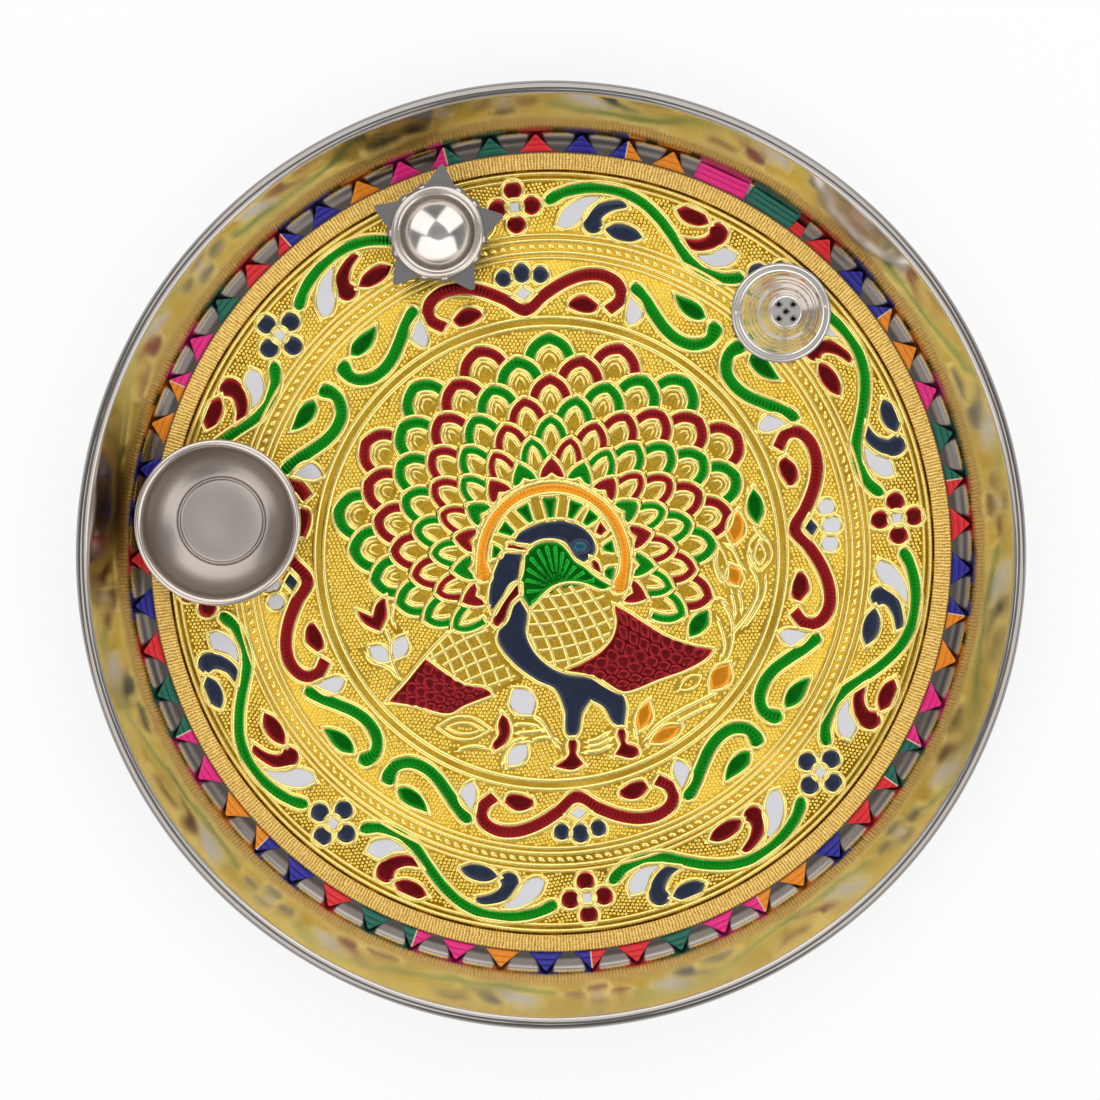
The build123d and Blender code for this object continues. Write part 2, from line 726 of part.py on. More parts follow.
os.makedirs("parts", exist_ok=True)
for piece in (
    plate, foil_disc, enamel_green, enamel_maroon, enamel_navy, enamel_white, enamel_orange, lace_braid,
    lace_points, lace_flaps, katori, diya_cup, diya_petals, incense_dome, incense_base,
):
    export_step(piece.part, f"parts/{piece.part.label}.step")
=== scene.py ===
"""Looks of the puja thali: a steel tray with an enamelled peacock disc, a lace border and loose vessels.

Shapes are worked out in millimetres, in the part's own frame, and made in metres.
"""

import math
import random

import bpy
import numpy as np
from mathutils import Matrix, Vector
from mathutils.geometry import delaunay_2d_cdt


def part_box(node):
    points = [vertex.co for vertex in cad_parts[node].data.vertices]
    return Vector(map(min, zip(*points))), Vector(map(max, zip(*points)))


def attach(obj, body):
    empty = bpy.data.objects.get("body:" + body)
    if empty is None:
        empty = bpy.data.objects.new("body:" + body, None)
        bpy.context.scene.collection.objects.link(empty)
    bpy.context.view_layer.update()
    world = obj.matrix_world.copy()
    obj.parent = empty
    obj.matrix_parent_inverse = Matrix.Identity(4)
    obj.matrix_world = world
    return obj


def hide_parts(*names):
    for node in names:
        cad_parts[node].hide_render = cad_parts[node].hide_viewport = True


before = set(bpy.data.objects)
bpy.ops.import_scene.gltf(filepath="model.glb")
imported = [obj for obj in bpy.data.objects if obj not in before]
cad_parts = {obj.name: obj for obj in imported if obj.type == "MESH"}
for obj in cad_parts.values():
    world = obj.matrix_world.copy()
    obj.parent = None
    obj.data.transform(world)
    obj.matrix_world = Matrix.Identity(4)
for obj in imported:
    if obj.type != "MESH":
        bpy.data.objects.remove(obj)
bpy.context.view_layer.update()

MM = 0.001
rng = random.Random(12)

# Sizes of the sheet work, as in the solids
tray_sheet = 0.7
wall_lean = math.radians(27.0)
cove_radius = 6.0
rim_roll_radius = 2.25
incense_flange_top = 1.2
stick_hole_radius = 0.95
stick_hole_circle = 3.2

# Sizes of the raised ornament. A ridge has a width and a height
medallion_radius = 73.3
fan_centre = np.array((0.8, -1.5))
row_step = 6.65
row_slack = 1.0
cover_reach = 2.6 * row_step
arch_growth = 1.03
arch_leg = 1.38
arch_top_growth = 1.08
arch_stroke_share = 0.4
arch_stroke_limits = (1.9, 3.1)
arch_curve_shares = ((0.0, 0.0), (0.46, 0.09), (1.0, 0.34), (0.97, 1.0))
bud_least_share = 0.6
bud_bulge_share = 0.12
outline_ridge = (1.5, 0.55)
outline_offset = 0.6
enamel_crown = 0.24
white_crown = 0.12
crown_reach = 0.9
rib_pitch = 1.25
fill_spacing = 0.62
fill_margin_share = 0.45
triangle_row_share = 0.87


# Reading the frame


def node_points(node):
    """Vertices of a node, in millimetres."""
    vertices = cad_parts[node].data.vertices
    points = np.empty(len(vertices) * 3)
    vertices.foreach_get("co", points)
    return points.reshape(-1, 3) / MM


def node_box(node):
    """Lowest and highest corners of a node, in millimetres."""
    low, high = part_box(node)
    return np.array(low) / MM, np.array(high) / MM


def standing(node):
    """Middle of a vessel and the height of its underside."""
    low, high = node_box(node)
    return ((low + high) / 2)[:2], low[2]


def top_outlines(node, slack=0.01):
    """Closed outlines of a node's flat top faces, anticlockwise."""
    points = node_points(node)
    top = points[:, 2].max()
    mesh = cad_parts[node].data
    mesh.calc_loop_triangles()
    edges = set()
    for triangle in mesh.loop_triangles:
        corners = points[list(triangle.vertices)]
        if corners[:, 2].min() > top - slack:
            a, b, c = (tuple(corner) for corner in np.round(corners[:, :2], 3))
            edges.update(((a, b), (b, c), (c, a)))
    border = {a: b for a, b in edges if (b, a) not in edges}
    outlines = []
    while border:
        loop = [min(border)]
        while loop[-1] in border:
            loop.append(border.pop(loop[-1]))
        outlines.append(np.array(loop[:-1]))
    return outlines


foil_radius, _, foil_top = node_box("foil_disc")[1]
tray_radius, _, tray_height = node_box("plate")[1]


# Lines and outlines


def polar(radius, angle):
    return np.array((radius * math.cos(math.radians(angle)), radius * math.sin(math.radians(angle))))


def radii(points, centre=(0.0, 0.0)):
    return np.hypot(*(points[:, :2] - centre).T)


def unit(vectors):
    return vectors / np.maximum(np.linalg.norm(vectors, axis=-1, keepdims=True), 1e-9)


def leftward(start, end):
    """Direction to the left of the way from one point to another."""
    return unit(np.array((start[1] - end[1], end[0] - start[0])))


def at(line, share):
    """The point that lies a share of the way along a line."""
    return line[round(share * (len(line) - 1))]


def flow(points, closed, corner=66.0, step=0.55, cap=3.6):
    """A smooth line through points. Turns sharper than the corner stay sharp, but short caps are rounded."""
    points = np.asarray(points, float)
    count = len(points)
    edge = np.roll(points, -1, 0) - points
    length = np.linalg.norm(edge, axis=1)
    ahead = unit(edge)
    behind = np.roll(ahead, 1, 0)
    turn = np.degrees(np.arccos(np.clip((ahead * behind).sum(1), -1, 1)))
    sharp = turn > corner
    if not closed:
        sharp[[0, -1]] = True
    elif count > 4:
        capped = sharp & np.roll(sharp, -1) & (length < cap)
        sharp &= ~(capped | np.roll(capped, 1))
    tangent = unit(ahead + behind)
    line = []
    for i in range(count if closed else count - 1):
        j = (i + 1) % count
        m0, m1 = ((ahead[i] if sharp[end] else tangent[end]) * length[i] for end in (i, j))
        steps = max(1, math.ceil(length[i] / step))
        for t in np.arange(steps) / steps:
            h = (1 + 2 * t) * (1 - t) ** 2, t * (1 - t) ** 2, t * t * (3 - 2 * t), t * t * (t - 1)
            line.append(h[0] * points[i] + h[1] * m0 + h[2] * points[j] + h[3] * m1)
    if not closed:
        line.append(points[-1])
    return np.array(line)


def bow(start, end, bulge, away, steps=7):
    """A bowed edge between two points, bulging along a direction by a share of its length."""
    middle = (start + end) / 2 + away * bulge * 2 * np.linalg.norm(end - start)
    t = np.linspace(0, 1, steps, endpoint=False)[:, None]
    return (1 - t) ** 2 * start + 2 * t * (1 - t) * middle + t * t * end


class Arch:
    """A round-shouldered scale of the tail. Scales of a lower row lie over its legs."""

    def __init__(self, points):
        inner, foot_in, foot_out, apex, far_out, far_in = points
        self.apex = apex
        self.axis = unit(apex - inner)
        self.side = unit(foot_out - far_out)
        self.half = np.linalg.norm(foot_out - far_out) / 2 * arch_growth
        self.depth = (apex - (foot_out + far_out) / 2) @ self.axis
        self.bud = (apex - inner) @ self.axis > bud_least_share * self.depth
        self.thick = np.clip(self.half * arch_stroke_share, *arch_stroke_limits)
        self.radius = np.linalg.norm(apex - fan_centre)
        self.region = self.curve(0)[::-1]
        if self.bud:
            self.outline = np.vstack((
                bow(foot_out, apex, bud_bulge_share, self.side),
                bow(apex, far_out, bud_bulge_share, -self.side),
                far_out, far_in, inner, foot_in,
            ))
        else:
            self.outline = np.vstack((self.region, self.curve(self.thick)))
        self.middle = self.curve(self.thick / 2)

    def curve(self, inset, steps=10):
        """The arch's line from foot to foot, moved in from its outer edge."""
        half, top, foot = self.half - inset, inset * arch_top_growth, self.depth * arch_leg
        ends = np.array(arch_curve_shares) * (half, foot - top) + (0, top)
        t = np.linspace(0, 1, steps)[:, None]
        weights = np.hstack(((1 - t) ** 3, 3 * t * (1 - t) ** 2, 3 * t * t * (1 - t), t**3))
        across, down = (weights @ ends).T
        right = self.apex + np.outer(across, self.side) - np.outer(down, self.axis)
        left = self.apex - np.outer(across, self.side) - np.outer(down, self.axis)
        return np.vstack((left[:0:-1], right))

    def covers(self, arches):
        """Regions of the scales that lie over this one."""
        return [
            other.region for other in arches
            if other.radius < self.radius - row_slack and np.linalg.norm(other.apex - self.apex) < cover_reach
        ]


def as_arch(points):
    """The tail scale that an outline draws, or None: a scale has six corners and one hollow one."""
    if len(points) != 6:
        return None
    ahead = np.roll(points, -1, 0) - points
    behind = np.roll(ahead, 1, 0)
    hollow = np.flatnonzero(behind[:, 0] * ahead[:, 1] - behind[:, 1] * ahead[:, 0] < 0)
    if len(hollow) != 1:
        return None
    return Arch(np.roll(points, -hollow[0], 0))


def stroke_middle(points, least_corners=14, least_slimness=50):
    """Middle line of a brush stroke, or None where the outline is no stroke."""
    count = len(points)
    edge = np.linalg.norm(np.roll(points, -1, 0) - points, axis=1)
    x, y = points.T
    area = abs((x * np.roll(y, -1) - y * np.roll(x, -1)).sum()) / 2
    if count % 2 or count < least_corners or edge.sum() ** 2 / area < least_slimness:
        return None
    half = count // 2
    cap = min(range(half), key=lambda i: edge[i] + edge[i + half])
    ring = np.roll(points, -(cap + 1), 0)
    return flow((ring[:half] + ring[half:][::-1]) / 2, False)


def nearest(points, line, closed):
    """Distance from points to a line, and how far along the line the nearest place lies."""
    line = np.vstack((line, line[:1])) if closed else line
    start, edge = line[:-1], np.diff(line, axis=0)
    length = np.linalg.norm(edge, axis=1)
    run = np.concatenate(((0,), np.cumsum(length)[:-1]))
    offset = points[:, None] - start
    share = np.clip((offset * edge).sum(2) / np.maximum(length**2, 1e-12), 0, 1)
    distance = np.linalg.norm(offset - share[..., None] * edge, axis=2)
    best = distance.argmin(1)
    rows = np.arange(len(points))
    return distance[rows, best], run[best] + share[rows, best] * length[best]


def inside(points, outline):
    """Which points lie inside a closed outline."""
    x, y = points[:, 0][:, None], points[:, 1][:, None]
    x0, y0 = outline.T
    x1, y1 = np.roll(outline, -1, 0).T
    spans = (y0 > y) != (y1 > y)
    crossing = x < (x1 - x0) * (y - y0) / np.where(y1 == y0, 1e-12, y1 - y0) + x0
    return (spans & crossing).sum(1) % 2 == 1


def beside(points, line, closed, margin):
    """Which points lie within a margin of a line, or inside it where it is closed."""
    close = np.zeros(len(points), bool)
    low, high = line.min(0) - margin, line.max(0) + margin
    boxed = np.flatnonzero(((points > low) & (points < high)).all(1))
    if len(boxed):
        close[boxed] = nearest(points[boxed], line, closed)[0] < margin
        if closed:
            close[boxed] |= inside(points[boxed], line)
    return close


def hidden(points, covers, margin=0.0):
    """Which points lie under covering outlines, or within a margin of them."""
    under = np.zeros(len(points), bool)
    for cover in covers:
        under |= beside(points, cover, True, margin)
    return under


# Meshes


class Shape:
    """Points, faces and surface coordinates gathered for one mesh."""

    def __init__(self):
        self.points, self.faces, self.uvs = [], [], []

    def add(self, points, faces, uvs=None):
        start = len(self.points)
        self.points.extend(tuple(p) for p in points)
        self.faces.extend(tuple(start + i for i in face) for face in faces)
        self.uvs.extend(uvs if uvs is not None else [(0.0, 0.0)] * len(points))


def add_piece(name, shape, surface, replaces=(), body="thali"):
    """Makes a shape into a piece with a finish, in place of the nodes that it replaces, on a body."""
    mesh = bpy.data.meshes.new(name)
    mesh.from_pydata((np.array(shape.points) * MM).tolist(), [], shape.faces)
    mesh.polygons.foreach_set("use_smooth", [True] * len(mesh.polygons))
    corners = np.empty(len(mesh.loops), int)
    mesh.loops.foreach_get("vertex_index", corners)
    layer = mesh.uv_layers.new(name="surface")
    layer.data.foreach_set("uv", np.array(shape.uvs, np.float32)[corners].ravel())
    mesh.materials.append(surface.material)
    piece = bpy.data.objects.new(name, mesh)
    bpy.context.scene.collection.objects.link(piece)
    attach(piece, body)
    if replaces:
        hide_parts(*replaces)


def grid_faces(rows, columns, wrap_rows=False, wrap_columns=False, flip=False):
    faces = []
    for r in range(rows if wrap_rows else rows - 1):
        for c in range(columns if wrap_columns else columns - 1):
            r1, c1 = (r + 1) % rows, (c + 1) % columns
            face = (r * columns + c, r1 * columns + c, r1 * columns + c1, r * columns + c1)
            faces.append(face[::-1] if flip else face)
    return faces


ridge_shares = ((-0.5, 0.0), (-0.34, 0.7), (0.0, 1.0), (0.34, 0.7), (0.5, 0.0))
ridge_sink = 0.03
taper_points = 4
taper_least_share = 0.15
sharpest_mitre = 0.62


def add_ridge(shape, line, closed, ridge, offset=0.0, taper=False):
    """A raised half-round line on the foil. An offset moves it outward from an anticlockwise outline."""
    width, height = ridge
    line = np.asarray(line, float)
    ahead = unit(np.roll(line, -1, 0) - line)
    behind = unit(line - np.roll(line, 1, 0))
    if not closed:
        ahead[-1], behind[0] = behind[-1], ahead[0]
    tangent = unit(ahead + behind)
    normal = np.column_stack((tangent[:, 1], -tangent[:, 0]))
    mitre = 1 / np.clip((tangent * ahead).sum(1), sharpest_mitre, 1)
    size = np.ones(len(line))
    if taper and not closed:
        from_start = np.arange(len(line))
        size = np.clip(np.minimum(from_start, from_start[::-1]) / taper_points, taper_least_share, 1)
    points = []
    for place, side, stretch, share in zip(line, normal, mitre, size):
        for across, up in ridge_shares:
            x, y = place + side * stretch * (offset + across * width * share)
            points.append((x, y, foil_top - ridge_sink + up * height * share))
    shape.add(points, grid_faces(len(line), len(ridge_shares), wrap_rows=closed, flip=True))


def add_runs(shape, line, shown, closed, ridge, offset=0.0, taper=False):
    """The stretches of a line that show, as ridges."""
    if closed and shown.all():
        add_ridge(shape, line, True, ridge, offset)
        return
    if closed:
        turn = int(np.flatnonzero(~shown)[0])
        line, shown = np.roll(line, -turn, 0), np.roll(shown, -turn)
    for run in np.split(np.arange(len(line)), np.flatnonzero(np.diff(shown)) + 1):
        if len(run) > 2 and shown[run[0]]:
            add_ridge(shape, line[run], False, ridge, offset, taper)


def triangulate(seeds, border):
    """Points and triangles over seeds, inside the closed line that the first of them draw."""
    found = delaunay_2d_cdt([Vector(p) for p in seeds], [], [list(range(border))], 1, 1e-5)
    return np.array([tuple(p) for p in found[0]]), np.array(found[2])


def add_fill(shape, outline, crown, middle=None, covers=(), lift=0.0):
    """A domed field inside an outline. Its coordinates run along a middle line and in from the edge."""
    spacing = fill_spacing
    low, high = outline.min(0), outline.max(0)
    columns = np.arange(low[0], high[0] + spacing, spacing)
    rows = np.arange(low[1], high[1] + spacing, spacing * triangle_row_share)
    grid = np.array([(x + spacing / 2 * (j % 2), y) for j, y in enumerate(rows) for x in columns])
    grid = grid[inside(grid, outline)]
    if len(grid):
        grid = grid[nearest(grid, outline, True)[0] > spacing * fill_margin_share]
    flat, faces = triangulate(np.vstack((outline, grid)), len(outline))
    depth = nearest(flat, outline, True)[0]
    dome = crown * (1 - (1 - np.minimum(depth / crown_reach, 1)) ** 2)
    along = np.zeros(len(flat)) if middle is None else nearest(flat, middle, False)[1]
    faces = faces[~hidden(flat[faces].mean(1), covers, outline_offset)]
    points = np.column_stack((flat, foil_top + lift + dome))
    shape.add(points, faces.tolist(), np.column_stack((along, depth)).tolist())


def add_turned(shape, profile, centre=(0.0, 0.0), base=0.0, segments=128, caps=0):
    """Turns a profile of radius and height points about an upright axis.

    The profile runs outward over the top. One cap closes its first ring, and two close both ends.
    """
    angles = np.linspace(0, 2 * math.pi, segments, endpoint=False)
    ring = np.column_stack((np.cos(angles), np.sin(angles)))
    points = np.concatenate([
        np.column_stack((ring * radius + centre, np.full(segments, base + height)))
        for radius, height in profile
    ])
    ends = [range(segments), range(len(points) - 1, len(points) - segments - 1, -1)]
    shape.add(points, grid_faces(len(profile), segments, wrap_columns=True) + ends[:caps])


def add_lens(shape, centre, halves, turn=0.0, rings=3, sides=10):
    """A small rounded bead, half sunk in what carries it."""
    cx, cy, cz = centre
    hx, hy, hz = halves
    cos, sin = math.cos(math.radians(turn)), math.sin(math.radians(turn))
    points = []
    for ring in range(rings):
        out, up = math.cos(ring / rings * math.pi / 2), math.sin(ring / rings * math.pi / 2)
        for side in range(sides):
            x = hx * out * math.cos(2 * math.pi * side / sides)
            y = hy * out * math.sin(2 * math.pi * side / sides)
            points.append((cx + x * cos - y * sin, cy + x * sin + y * cos, cz + hz * up))
    points.append((cx, cy, cz + hz))
    last = (rings - 1) * sides
    top = [(last + s, last + (s + 1) % sides, len(points) - 1) for s in range(sides)]
    shape.add(points, grid_faces(rings, sides, wrap_columns=True, flip=True) + top)


# Materials


def dim(colour, share):
    return tuple(c * share for c in colour)


def rgba(colour):
    """A colour for a socket. A socket passes as it is."""
    return colour if isinstance(colour, bpy.types.NodeSocket) else (*colour, 1.0)


class Nodes:
    """The shader nodes of a material or a world. Inputs are plain values or sockets of other nodes."""

    def __init__(self, owner):
        owner.use_nodes = True
        self.tree = owner.node_tree

    def feed(self, target, value):
        if isinstance(value, bpy.types.NodeSocket):
            self.tree.links.new(value, target)
        else:
            target.default_value = value

    def put(self, kind, inputs=None, **settings):
        node = self.tree.nodes.new("ShaderNode" + kind)
        for name, value in settings.items():
            setattr(node, name, value)
        for key, value in (inputs or {}).items():
            self.feed(node.inputs[key], value)
        return node

    def maths(self, operation, *values):
        return self.put("Math", dict(enumerate(values)), operation=operation).outputs[0]

    def vector(self, operation, *values):
        return self.put("VectorMath", dict(enumerate(values)), operation=operation).outputs[0]

    def split(self, vector):
        return self.put("SeparateXYZ", {0: vector}).outputs

    def noise(self, vector, scale, detail=2.0, roughness=0.5):
        inputs = {"Vector": vector, "Scale": scale, "Detail": detail, "Roughness": roughness}
        return self.put("TexNoise", inputs).outputs["Fac"]

    def remap(self, value, low, high, out_low, out_high):
        inputs = {"Value": value, "From Min": low, "From Max": high, "To Min": out_low, "To Max": out_high}
        return self.put("MapRange", inputs).outputs["Result"]

    def vary(self, grain, low, high):
        """Spreads the usual range of a noise over a range of values."""
        return self.remap(grain, 0.3, 0.7, low, high)

    def wave(self, distance, pitch, shift=0.0):
        turn = self.maths("MULTIPLY", distance, 2 * math.pi / pitch)
        return self.maths("SINE", self.maths("ADD", turn, shift))

    def mix(self, factor, first, second):
        """Blends two colours."""
        inputs = {0: factor, 6: rgba(first), 7: rgba(second)}
        return self.put("Mix", inputs, data_type="RGBA").outputs[2]

    def seen_rays(self):
        """1 on rays that a camera sees, directly or in metal or glass."""
        rays = self.put("LightPath").outputs
        mirrored = self.maths("MAXIMUM", rays["Is Glossy Ray"], rays["Is Transmission Ray"])
        return self.maths("MAXIMUM", rays["Is Camera Ray"], mirrored)


class Surface(Nodes):
    """A material with a principled shader. A value that is the same all over is set on its own socket."""

    def __init__(self, name, **values):
        self.material = bpy.data.materials.new(name)
        super().__init__(self.material)
        self.shader = self.tree.nodes["Principled BSDF"]
        self.relief = None
        self.drive(**values)

    def drive(self, **values):
        for key, value in values.items():
            self.feed(self.shader.inputs[key.replace("_", " ")], value)

    def place(self):
        """Position on the part, in millimetres."""
        return self.vector("MULTIPLY", self.put("TexCoord").outputs["Object"], (1 / MM,) * 3)

    def laid_out(self):
        """Coordinates made with the mesh: along the piece, and across it or in from its edge."""
        return self.put("UVMap", uv_map="surface").outputs[0]

    def emboss(self, height, strength, depth):
        """Fine relief, over any that was made before it."""
        inputs = {"Height": height, "Strength": strength, "Distance": depth * MM}
        if self.relief is not None:
            inputs["Normal"] = self.relief
        self.relief = self.put("Bump", inputs).outputs["Normal"]
        self.drive(Normal=self.relief)


class Steel(Surface):
    """Stainless steel turned about an upright axis, with ring marks and smudges."""

    def __init__(self, name, colour, roughness, centre=(0.0, 0.0), marks=0.1, smudge=0.06, metallic=1.0):
        super().__init__(name, Metallic=metallic)
        self.colour = colour
        self.where = self.place()
        arm = self.vector("MULTIPLY", self.vector("SUBTRACT", self.where, (*centre, 0.0)), (1.0, 1.0, 0.0))
        self.radius = self.put("VectorMath", {0: arm}, operation="LENGTH").outputs["Value"]
        girth = self.put("CombineXYZ", {"X": self.radius, "Y": self.split(self.where)["Z"]}).outputs[0]
        rings = self.noise(girth, 3.5, 3.0, 0.7)
        patches = self.noise(self.where, 0.045, 3.0)
        turned = self.vary(rings, roughness * 0.8, roughness * 1.2)
        self.finish(
            self.mix(self.remap(patches, 0.35, 0.75, 0.0, 0.5), colour, dim(colour, 0.82)),
            self.maths("ADD", turned, self.remap(patches, 0.4, 0.7, 0.0, smudge)),
        )
        self.emboss(rings, marks, 0.05)

    def finish(self, shade, rough):
        self.shade, self.rough = shade, rough
        self.drive(Base_Color=shade, Roughness=rough)

    def painted_shade_ring(self, inner, outer, fade=1.5):
        """Painted shade: steel darkened to a near-black grey-brown between two radii, and made duller."""
        starts = self.remap(self.radius, inner - fade, inner, 0.0, 0.9)
        ring = self.maths("MULTIPLY", starts, self.remap(self.radius, outer, outer + fade, 1.0, 0.0))
        shade = self.mix(ring, self.shade, (0.11, 0.09, 0.078))
        self.finish(shade, self.maths("ADD", self.rough, self.maths("MULTIPLY", ring, 0.12)))

    def smooth_lip_painted_light(self, start, gain, fade=0.4):
        """Smoother steel outside a radius, its colour scaled by a gain: painted shade where the gain is below
        one, a painted highlight where it is above one.
        """
        lip = self.remap(self.radius, start, start + fade, 0.0, 1.0)
        shade = self.mix(lip, self.shade, dim(self.colour, gain))
        self.finish(shade, self.maths("MULTIPLY", self.rough, self.remap(lip, 0.0, 1.0, 1.0, 0.5)))

    def ripples(self, strength):
        """Slow waves of pressed sheet."""
        self.emboss(self.noise(self.where, 0.06, 1.0), strength, 3.0)


def gold_ground_painted_shade():
    """Gold foil between the punched dots, duller than they are, and painted darker than them as shade between
    the dots.
    """
    foil = Surface("gold_ground_painted_shade", Metallic=1.0)
    where = foil.place()
    tone = foil.vary(foil.noise(where, 0.05, 3.0), 0.0, 1.0)
    grain = foil.noise(where, 1.1, 3.0, 0.6)
    # Painted shade: the ground's gold is far darker than the dots' gold.
    shade = foil.mix(tone, (0.42, 0.235, 0.014), (0.74, 0.47, 0.05))
    foil.drive(Base_Color=shade, Roughness=foil.vary(grain, 0.26, 0.4))
    foil.emboss(grain, 0.5, 0.2)
    return foil


def gold_smooth(name, colour, roughness, swell):
    """Foil pressed smooth, with a slight swell."""
    foil = Surface(name, Metallic=1.0)
    grain = foil.noise(foil.place(), 1.3, 3.0, 0.6)
    shade = foil.mix(foil.vary(grain, 0.0, 1.0), dim(colour, 0.82), colour)
    foil.drive(Base_Color=shade, Roughness=foil.vary(grain, roughness * 0.8, roughness * 1.3))
    foil.emboss(grain, 0.35, swell)
    return foil


def enamel(name, deep, edge, metallic, ribs=0.0, rough=0.22):
    """Glossy enamel, thinner and lighter along its edge, over foil with ribs across each stroke."""
    glass = Surface(name, Metallic=metallic, Coat_Weight=0.1, Coat_Roughness=0.05)
    along, depth, _ = glass.split(glass.laid_out())
    where = glass.place()
    cloud = glass.noise(where, 0.35, 3.0)
    rim = glass.maths("ADD", depth, glass.vary(cloud, -0.15, 0.15))
    shade = glass.mix(glass.remap(rim, 0.0, 0.42, 0.0, 1.0), edge, deep)
    glass.emboss(glass.noise(where, 1.6, 2.0), 0.22, 0.1)
    if ribs:
        wave = glass.wave(along, rib_pitch)
        shade = glass.mix(glass.remap(wave, 0.2, 1.0, 0.0, 0.22), shade, edge)
        glass.emboss(wave, ribs, 0.13)
    glass.drive(Base_Color=shade, Roughness=glass.vary(cloud, rough * 0.8, rough * 1.3))
    return glass


def ribbon(name, colour):
    """Satin ribbon: threads run along it and carry a soft sheen."""
    satin = Surface(name, Sheen_Weight=0.2, Sheen_Roughness=0.35, Specular_IOR_Level=0.45)
    threads = satin.put("Mapping", {"Vector": satin.laid_out(), "Scale": (0.35, 7.0, 1.0)}).outputs[0]
    grain = satin.noise(threads, 1.0, 3.0, 0.65)
    shade = satin.mix(satin.remap(grain, 0.25, 0.6, 0.0, 1.0), dim(colour, 0.55), colour)
    satin.drive(Base_Color=shade, Roughness=satin.vary(grain, 0.34, 0.52))
    satin.emboss(grain, 0.5, 0.08)
    return satin


def braid_gold(bar_pitch=1.05, thread_pitch=0.9):
    """Woven metal thread: fine bars across the braid, crossed by fewer long threads."""
    weave = Surface("braid_gold", Metallic=0.75)
    along, across, _ = weave.split(weave.laid_out())
    where = weave.place()
    slub = weave.noise(where, 0.5, 3.0)
    bars = weave.wave(along, bar_pitch, weave.maths("MULTIPLY", slub, 7.0))
    threads = weave.maths("MULTIPLY", weave.wave(across, thread_pitch), 0.25)
    uneven = weave.vary(weave.noise(where, 0.9, 3.0, 0.7), -0.7, 0.7)
    cloth = weave.maths("ADD", weave.maths("ADD", bars, threads), uneven)
    shade = weave.mix(weave.remap(cloth, -1.2, 0.9, 0.0, 1.0), (0.44, 0.25, 0.035), (1.0, 0.67, 0.2))
    weave.drive(Base_Color=shade, Roughness=weave.vary(slub, 0.28, 0.46))
    weave.emboss(cloth, 0.6, 0.16)
    return weave


def floor_white():
    """A pale floor that a camera sees as white, with the object's soft shadow kept."""
    paint = Surface("floor_white", Base_Color=(0.86, 0.86, 0.86, 1.0), Roughness=0.8)
    shown = paint.maths("MULTIPLY", paint.seen_rays(), 0.74)
    glow = paint.put("Emission", {"Color": (1.0, 1.0, 1.0, 1.0), "Strength": 1.06}).outputs[0]
    both = paint.put("MixShader", {0: shown, 1: paint.shader.outputs[0], 2: glow}).outputs[0]
    paint.feed(paint.tree.nodes["Material Output"].inputs["Surface"], both)
    return paint


# Foil disc: flat ground, ring ridges and a rope of beads

foil_edge = 0.25
disc_radii = (0.5, 40.0, 80.0, foil_radius)
ring_ridges = (
    (73.3, 1.6), (76.2, 1.5), (95.2, 1.2), (97.0, 1.4),
    (100.9, 1.4), (102.7, 1.2), (120.2, 1.2), (122.2, 1.3),
)
ring_height = 0.5
bead_radius = 98.95
bead_count = 200
bead_halves = (1.45, 0.75, 0.46)
bead_slant = 66
bead_sink = 0.02

disc = Shape()
disc_profile = [*((radius, foil_top) for radius in disc_radii), (foil_radius, foil_top - foil_edge)]
add_turned(disc, disc_profile, segments=256, caps=1)
add_piece("foil_ground", disc, gold_ground_painted_shade(), ("foil_disc",))

relief = Shape()
for ring_radius, width in ring_ridges:
    circle = np.array([polar(ring_radius, angle) for angle in np.arange(0, 360, 1.5)])
    add_ridge(relief, circle, True, (width, ring_height))
for index in range(bead_count):
    angle = 360 * index / bead_count
    add_lens(relief, (*polar(bead_radius, angle), foil_top - bead_sink), bead_halves, angle + bead_slant)


# Enamel fields, each inside a raised outline

field_enamels = {
    "green": enamel("green_enamel", (0.0, 0.165, 0.003), (0.004, 0.4, 0.012), 0.9, ribs=0.42),
    "maroon": enamel("maroon_enamel", (0.175, 0.003, 0.005), (0.56, 0.014, 0.018), 0.88, ribs=0.42),
    "navy": enamel("navy_enamel", (0.012, 0.021, 0.052), (0.018, 0.06, 0.1), 0.35),
    "white": enamel("white_enamel", (0.72, 0.72, 0.76), (0.65, 0.65, 0.69), 0.0, rough=0.4),
    "orange": enamel("orange_enamel", (0.8, 0.285, 0.004), (0.92, 0.43, 0.02), 0.6, ribs=0.4),
}
fields = {word: Shape() for word in field_enamels}
patches = [
    (word, corners, as_arch(corners)) for word in fields for corners in top_outlines("enamel_" + word)
]
arches = [arch for _, _, arch in patches if arch]
outlines = [arch.region for arch in arches]
for word, corners, arch in patches:
    if arch:
        outline, middle, covers = arch.outline, arch.middle, arch.covers(arches)
    else:
        outline, middle, covers = flow(corners, True), stroke_middle(corners), []
    outlines.append(outline)
    add_fill(fields[word], outline, white_crown if word == "white" else enamel_crown, middle, covers)
    add_runs(relief, outline, ~hidden(outline, covers), True, outline_ridge, outline_offset)
for word, surface in field_enamels.items():
    add_piece(word + "_fields", fields[word], surface, ("enamel_" + word,))


# Inside the tail's scales: smooth gold with smaller arches nested in it

cell_crown = 0.08
nested_insets = (1.6, 3.0)
nested_ridge = (1.1, 0.5)
nested_least_half = 0.9

cells = Shape()
for arch in arches:
    if arch.bud:
        continue
    above = arch.covers(arches)
    add_fill(cells, arch.curve(arch.thick)[::-1], cell_crown, covers=above)
    for inset in nested_insets:
        if arch.half - arch.thick - inset > nested_least_half:
            line = arch.curve(arch.thick + inset)
            shown = ~hidden(line, above, outline_offset)
            add_runs(relief, line, shown, False, nested_ridge, taper=True)


# Gold stems and leaves of the lower field


def medallion(shares):
    return np.array(shares, float) * medallion_radius


